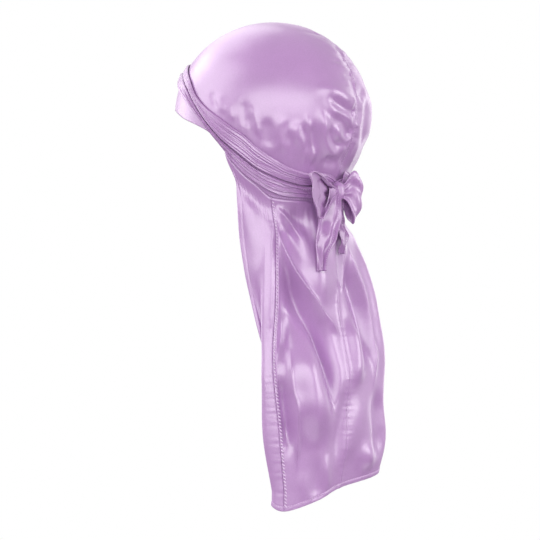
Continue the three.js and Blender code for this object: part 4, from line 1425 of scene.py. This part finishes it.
def satin_weave() -> bpy.types.NodeTree:
    """The group that turns a place on the cloth, in metres, into the weave's bumps."""
    group = new_group(
        "satin_weave",
        (("Place", "Vector"), ("Threads", "Float"), ("Weave", "Float"), ("Softness", "Float")),
        (("Normal", "Vector"),),
    )
    given, out = group.nodes["in"].outputs, group.nodes["out"].inputs
    place, threads = given["Place"], given["Threads"]
    warp = add_node(
        group, "TexWave", {"Vector": place, "Scale": threads, "Distortion": 0.0}, bands_direction="X"
    )
    fewer = add_node(group, "Math", {0: threads, 1: 0.37}, operation="MULTIPLY").outputs[0]
    slanted = {"Vector": place, "Scale": fewer, "Distortion": 0.0}
    weft = add_node(group, "TexWave", slanted, bands_direction="DIAGONAL")
    woven = add_node(group, "Mix", {"Factor": 0.3, "A": warp.outputs["Fac"], "B": weft.outputs["Fac"]})
    stretched = add_node(group, "Mapping", {"Vector": place, "Scale": (1.0, 0.12, 1.0)}).outputs[0]
    slubs = add_node(group, "TexNoise", {"Vector": stretched, "Scale": 1400.0, "Detail": 2.0})
    relief = add_node(group, "Mix", {"Factor": 0.5, "A": woven.outputs[0], "B": slubs.outputs["Fac"]})
    soft = add_node(group, "TexNoise", {"Vector": place, "Scale": 85.0, "Detail": 2.0})
    waves = {"Height": soft.outputs["Fac"], "Strength": given["Softness"], "Distance": 0.0015}
    bumps = {"Height": relief.outputs[0], "Strength": given["Weave"], "Distance": 0.00012}
    bumps["Normal"] = add_node(group, "Bump", waves).outputs[0]
    group.links.new(add_node(group, "Bump", bumps).outputs[0], out["Normal"])
    return group


def new_finish(
    name: str,
    colour: tuple[float, float, float],
    shades: tuple[float, float],
    rough: tuple[float, float],
    variation: bpy.types.NodeTree,
) -> tuple[bpy.types.Material, bpy.types.Node, bpy.types.NodeSocket]:
    """A finish whose colour and roughness vary softly.

    Args:
        name: the material's name.
        colour: its colour.
        shades: the darkest and the lightest shade, as multiples of the colour.
        rough: the least and the greatest roughness.
        variation: the group that makes them vary.

    Returns:
        The material, its shader and the place on the piece.
    """
    material = bpy.data.materials.new(name)
    material.use_nodes = True
    tree = material.node_tree
    shader = next(n for n in tree.nodes if n.type == "BSDF_PRINCIPLED")
    place = add_node(tree, "TexCoord").outputs["Object"]
    dark, light = ((*(min(1, c * shade) for c in colour), 1.0) for shade in shades)
    values = {"Place": place, "Dark": dark, "Light": light, "Smooth": rough[0], "Rough": rough[1]}
    vary = add_node(tree, "Group", values, node_tree=variation)
    tree.links.new(vary.outputs["Color"], shader.inputs["Base Color"])
    tree.links.new(vary.outputs["Roughness"], shader.inputs["Roughness"])
    return material, shader, place


@dataclass(frozen=True)
class Satin:
    """A satin finish: its colour, how it shines and how close its threads lie."""

    name: str
    colour: tuple[float, float, float]
    roughness: float = 0.31
    ior: float = 2.1
    sheen: float = 0.2
    thread: float = 0.00032
    weave: float = 0.12
    softness: float = 0.12
    warp_along: bool = False

    def make(self, variation: bpy.types.NodeTree, weave: bpy.types.NodeTree) -> bpy.types.Material:
        """Makes the material from the two groups."""
        rough = (self.roughness - 0.03, self.roughness + 0.04)
        material, shader, _ = new_finish(self.name, self.colour, (0.93, 1.06), rough, variation)
        tree = material.node_tree
        shader.inputs["Sheen Weight"].default_value = self.sheen
        shader.inputs["Sheen Roughness"].default_value = 0.4
        shader.inputs["Sheen Tint"].default_value = (0.95, 0.85, 1.0, 1.0)
        shader.inputs["IOR"].default_value = self.ior
        cloth = add_node(tree, "UVMap", uv_map="cloth").outputs["UV"]
        turn = math.pi / 2 if self.warp_along else 0.0
        turned = add_node(tree, "Mapping", {"Vector": cloth, "Rotation": (0.0, 0.0, turn)}).outputs[0]
        values = {"Place": turned, "Threads": math.pi / 10 / self.thread}
        values |= {"Weave": self.weave, "Softness": self.softness}
        woven = add_node(tree, "Group", values, node_tree=weave)
        tree.links.new(woven.outputs["Normal"], shader.inputs["Normal"])
        return material


@dataclass(frozen=True)
class Thread:
    """The sewing thread's finish."""

    name: str
    colour: tuple[float, float, float]

    def make(self, variation: bpy.types.NodeTree) -> bpy.types.Material:
        """Makes the material, with the thread's twist as bumps."""
        material, shader, place = new_finish(self.name, self.colour, (0.85, 1.1), (0.45, 0.6), variation)
        tree = material.node_tree
        twist = add_node(tree, "TexWave", {"Vector": place, "Scale": 1600.0}, bands_direction="DIAGONAL")
        values = {"Height": twist.outputs["Fac"], "Strength": 0.5, "Distance": 0.00006}
        tree.links.new(add_node(tree, "Bump", values).outputs[0], shader.inputs["Normal"])
        return material


@dataclass(frozen=True)
class SoftBox:
    """A studio light, placed by its angle from the camera's side, right positive."""

    name: str
    angle: float
    elevation: float
    distance: float
    size: tuple[float, float]
    power: float


@dataclass(frozen=True)
class Studio:
    """The camera, the lights, the floor and the white surroundings."""

    azimuth: float = 125.0
    distance: float = 1.9
    target_drop: float = 0.231
    aside: float = -0.0003
    frame_width: float = 0.5076
    sensor: float = 36.0
    floor_drop: float = 1.0
    floor_radius: float = 0.8
    lights_rise: float = 0.1

    LIGHTS = (
        SoftBox("softbox_front", -7, 11, 2.0, (3.5, 1.2), 33),
        SoftBox("softbox_left", -88, 26, 1.7, (1.2, 1.4), 10),
        SoftBox("softbox_behind", -145, 46, 1.7, (1.4, 1.2), 9),
        SoftBox("strip_left", -128, 14, 1.7, (0.8, 1.5), 9),
        SoftBox("fill_right", 70, 8, 1.9, (1.0, 1.0), 11),
        SoftBox("strip_right", 142, 8, 1.7, (0.7, 1.5), 5),
    )
    # Ramps of the surroundings' light: from, to, and the light at each of them.
    RAMP = ("From Min", "From Max", "To Min", "To Max")
    OVERHEAD = (0.2, 0.75, 1.0, 0.5)
    BELOW = (-0.42, 0.02, 0.06, 1.0)
    BESIDE_CAMERA = (-0.3, 0.5, 1.0, 0.68)

    def axes(self) -> tuple[Vector, Vector]:
        """The image's right and the way towards the camera."""
        a = math.radians(self.azimuth)
        return Vector((math.cos(a), math.sin(a), 0)), Vector((math.sin(a), -math.cos(a), 0))

    def target(self) -> Vector:
        """The point that the camera looks at."""
        return self.axes()[0] * self.aside + Vector((0, 0, -self.target_drop))

    def build(self) -> None:
        """Makes the camera, lights, floor and surroundings."""
        right, toward = self.axes()
        target = self.target()
        data = bpy.data.cameras.new("camera")
        data.sensor_width = self.sensor
        data.lens = self.sensor * self.distance / self.frame_width
        camera = scene_object("camera", data)
        camera.location = target + toward * self.distance
        camera.rotation_euler = toward.to_track_quat("Z", "Y").to_euler()
        bpy.context.scene.camera = camera
        for box in self.LIGHTS:
            light = bpy.data.lights.new(box.name, "AREA")
            light.shape = "RECTANGLE"
            light.size, light.size_y = box.size
            light.energy = box.power
            a, e = math.radians(box.angle), math.radians(box.elevation)
            level = toward * math.cos(a) + right * math.sin(a)
            way = level * math.cos(e) + Vector((0, 0, math.sin(e)))
            lamp = scene_object(box.name, light)
            lamp.location = target + Vector((0, 0, self.lights_rise)) + way * box.distance
            lamp.rotation_euler = way.to_track_quat("Z", "Y").to_euler()
        self.build_floor()
        self.build_surroundings()
        bpy.context.scene.view_settings.view_transform = "Standard"

    def build_floor(self) -> None:
        """Makes the pale floor."""
        bm = bmesh.new()
        bmesh.ops.create_circle(bm, cap_ends=True, segments=96, radius=self.floor_radius)
        bmesh.ops.translate(bm, verts=bm.verts, vec=(0, 0, -self.floor_drop))
        floor = finished_object("floor", bm)
        material = bpy.data.materials.new("pale_floor")
        material.use_nodes = True
        shader = next(n for n in material.node_tree.nodes if n.type == "BSDF_PRINCIPLED")
        shader.inputs["Base Color"].default_value = (0.7, 0.7, 0.71, 1.0)
        shader.inputs["Roughness"].default_value = 0.8
        floor.data.materials.append(material)

    def build_surroundings(self) -> None:
        """Makes the background white and the light that it gives dimmer."""
        world = bpy.data.worlds.new("surroundings")
        bpy.context.scene.world = world
        world.use_nodes = True
        tree = world.node_tree
        tree.nodes.clear()
        place = add_node(tree, "TexCoord").outputs["Generated"]
        height = add_node(tree, "SeparateXYZ", {0: place}).outputs["Z"]
        dot = add_node(tree, "VectorMath", {0: place, 1: self.axes()[1]}, operation="DOT_PRODUCT")
        beside = dot.outputs["Value"]
        shade = 1.0
        for value, ramp in ((height, self.OVERHEAD), (height, self.BELOW), (beside, self.BESIDE_CAMERA)):
            values = {"Value": value} | dict(zip(self.RAMP, ramp))
            step = add_node(tree, "MapRange", values, interpolation_type="SMOOTHSTEP").outputs[0]
            shade = add_node(tree, "Math", {0: shade, 1: step}, operation="MULTIPLY").outputs[0]
        given = add_node(tree, "Background", {"Color": (1, 0.99, 1, 1), "Strength": shade}).outputs[0]
        seen = add_node(tree, "Background", {"Color": (1, 1, 1, 1)}).outputs[0]
        from_camera = add_node(tree, "LightPath").outputs["Is Camera Ray"]
        both = add_node(tree, "MixShader", {"Fac": from_camera, 1: given, 2: seen}).outputs[0]
        add_node(tree, "OutputWorld", {"Surface": both})


def sew(crown: Crown, ties: Ties, tail: Tail, bow: Bow) -> list[bpy.types.Object]:
    """Sews the visible rows of stitches."""
    outward = np.array((0, 1, 0))
    beside = tail.SEAM - 0.055
    made = [
        Stitches(
            f"stitches_gore_{end}", pitch=0.0031, length=0.0036, radius=0.00068, lean=48.0 * side
        ).build(*tail.seam_line(side * beside))
        for side, end in SIDES
    ]
    made.append(Stitches("stitches_hem").build(*tail.hem_line(-4.85, 4.85)))
    crown_seam = Stitches("stitches_crown_seam", pitch=0.0026, length=0.0018, radius=0.0002)
    made.append(crown_seam.build(*crown.seam_line(aside=-1.1)))
    azimuth = np.linspace(-56, 56, 400)
    drop = crown.lines.drop("edge", azimuth) - 0.0014
    line = crown.head.point(azimuth, drop, np.full_like(drop, 0.0001))
    back_seam = Stitches("stitches_back_seam", pitch=0.0021, length=0.0015, lean=30.0)
    made.append(back_seam.build(line, crown.head.normal(azimuth, drop)))
    around = 0.5 + np.linspace(-52, 36, 300) / 360
    line, up = face_line(ties.face(-1, True), around, np.full_like(around, 0.2), outward)
    made.append(Stitches("stitches_tie", radius=0.0002).build(line, up))
    for name, face in bow.faces().items():
        first, last, row = (0.12, 0.88, 0.9) if "loop" in name else (0.1, 0.96, 0.13)
        along = np.linspace(first, last, 200)
        line, up = face_line(face, along, np.full_like(along, row), outward)
        made.append(Stitches(f"stitches_{name}", length=0.0016, radius=0.0002).build(line, up))
    return made


def dress(piece: bpy.types.Object, finish: bpy.types.Material, slot: str) -> None:
    """Gives a piece its finish and lets it ride on the durag's one body."""
    piece.data.materials.append(finish)
    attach(piece, "root")
    logging.info("%s: %d faces", piece.name, len(piece.data.polygons))


def main() -> None:
    """Builds and dresses the durag."""
    logging.basicConfig(level=logging.INFO, format="%(message)s")
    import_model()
    Studio().build()
    head = Head()
    lines = Lines(head)
    crown, ties, tail = Crown(head, lines), Ties(head, lines), Tail(head, lines)
    bow = Bow(head, lines, tail)
    variation, weave = cloth_variation(), satin_weave()
    satin = Satin("lilac_satin", (0.475, 0.255, 0.535)).make(variation, weave)
    tie_satin = Satin(
        "lilac_tie_satin", (0.425, 0.215, 0.48), roughness=0.27, thread=0.00028, warp_along=True
    ).make(variation, weave)
    thread = Thread("lilac_thread", (0.78, 0.6, 0.82)).make(variation)
    finishes = {"satin": (satin, (crown, tail)), "satin_ties": (tie_satin, (ties, bow))}
    for slot, (finish, parts) in finishes.items():
        for piece in (piece for part in parts for piece in part.build()):
            dress(piece, finish, slot)
    for piece in sew(crown, ties, tail, bow):
        dress(piece, thread, "thread")
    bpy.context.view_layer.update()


if __name__ == "__main__":
    main()
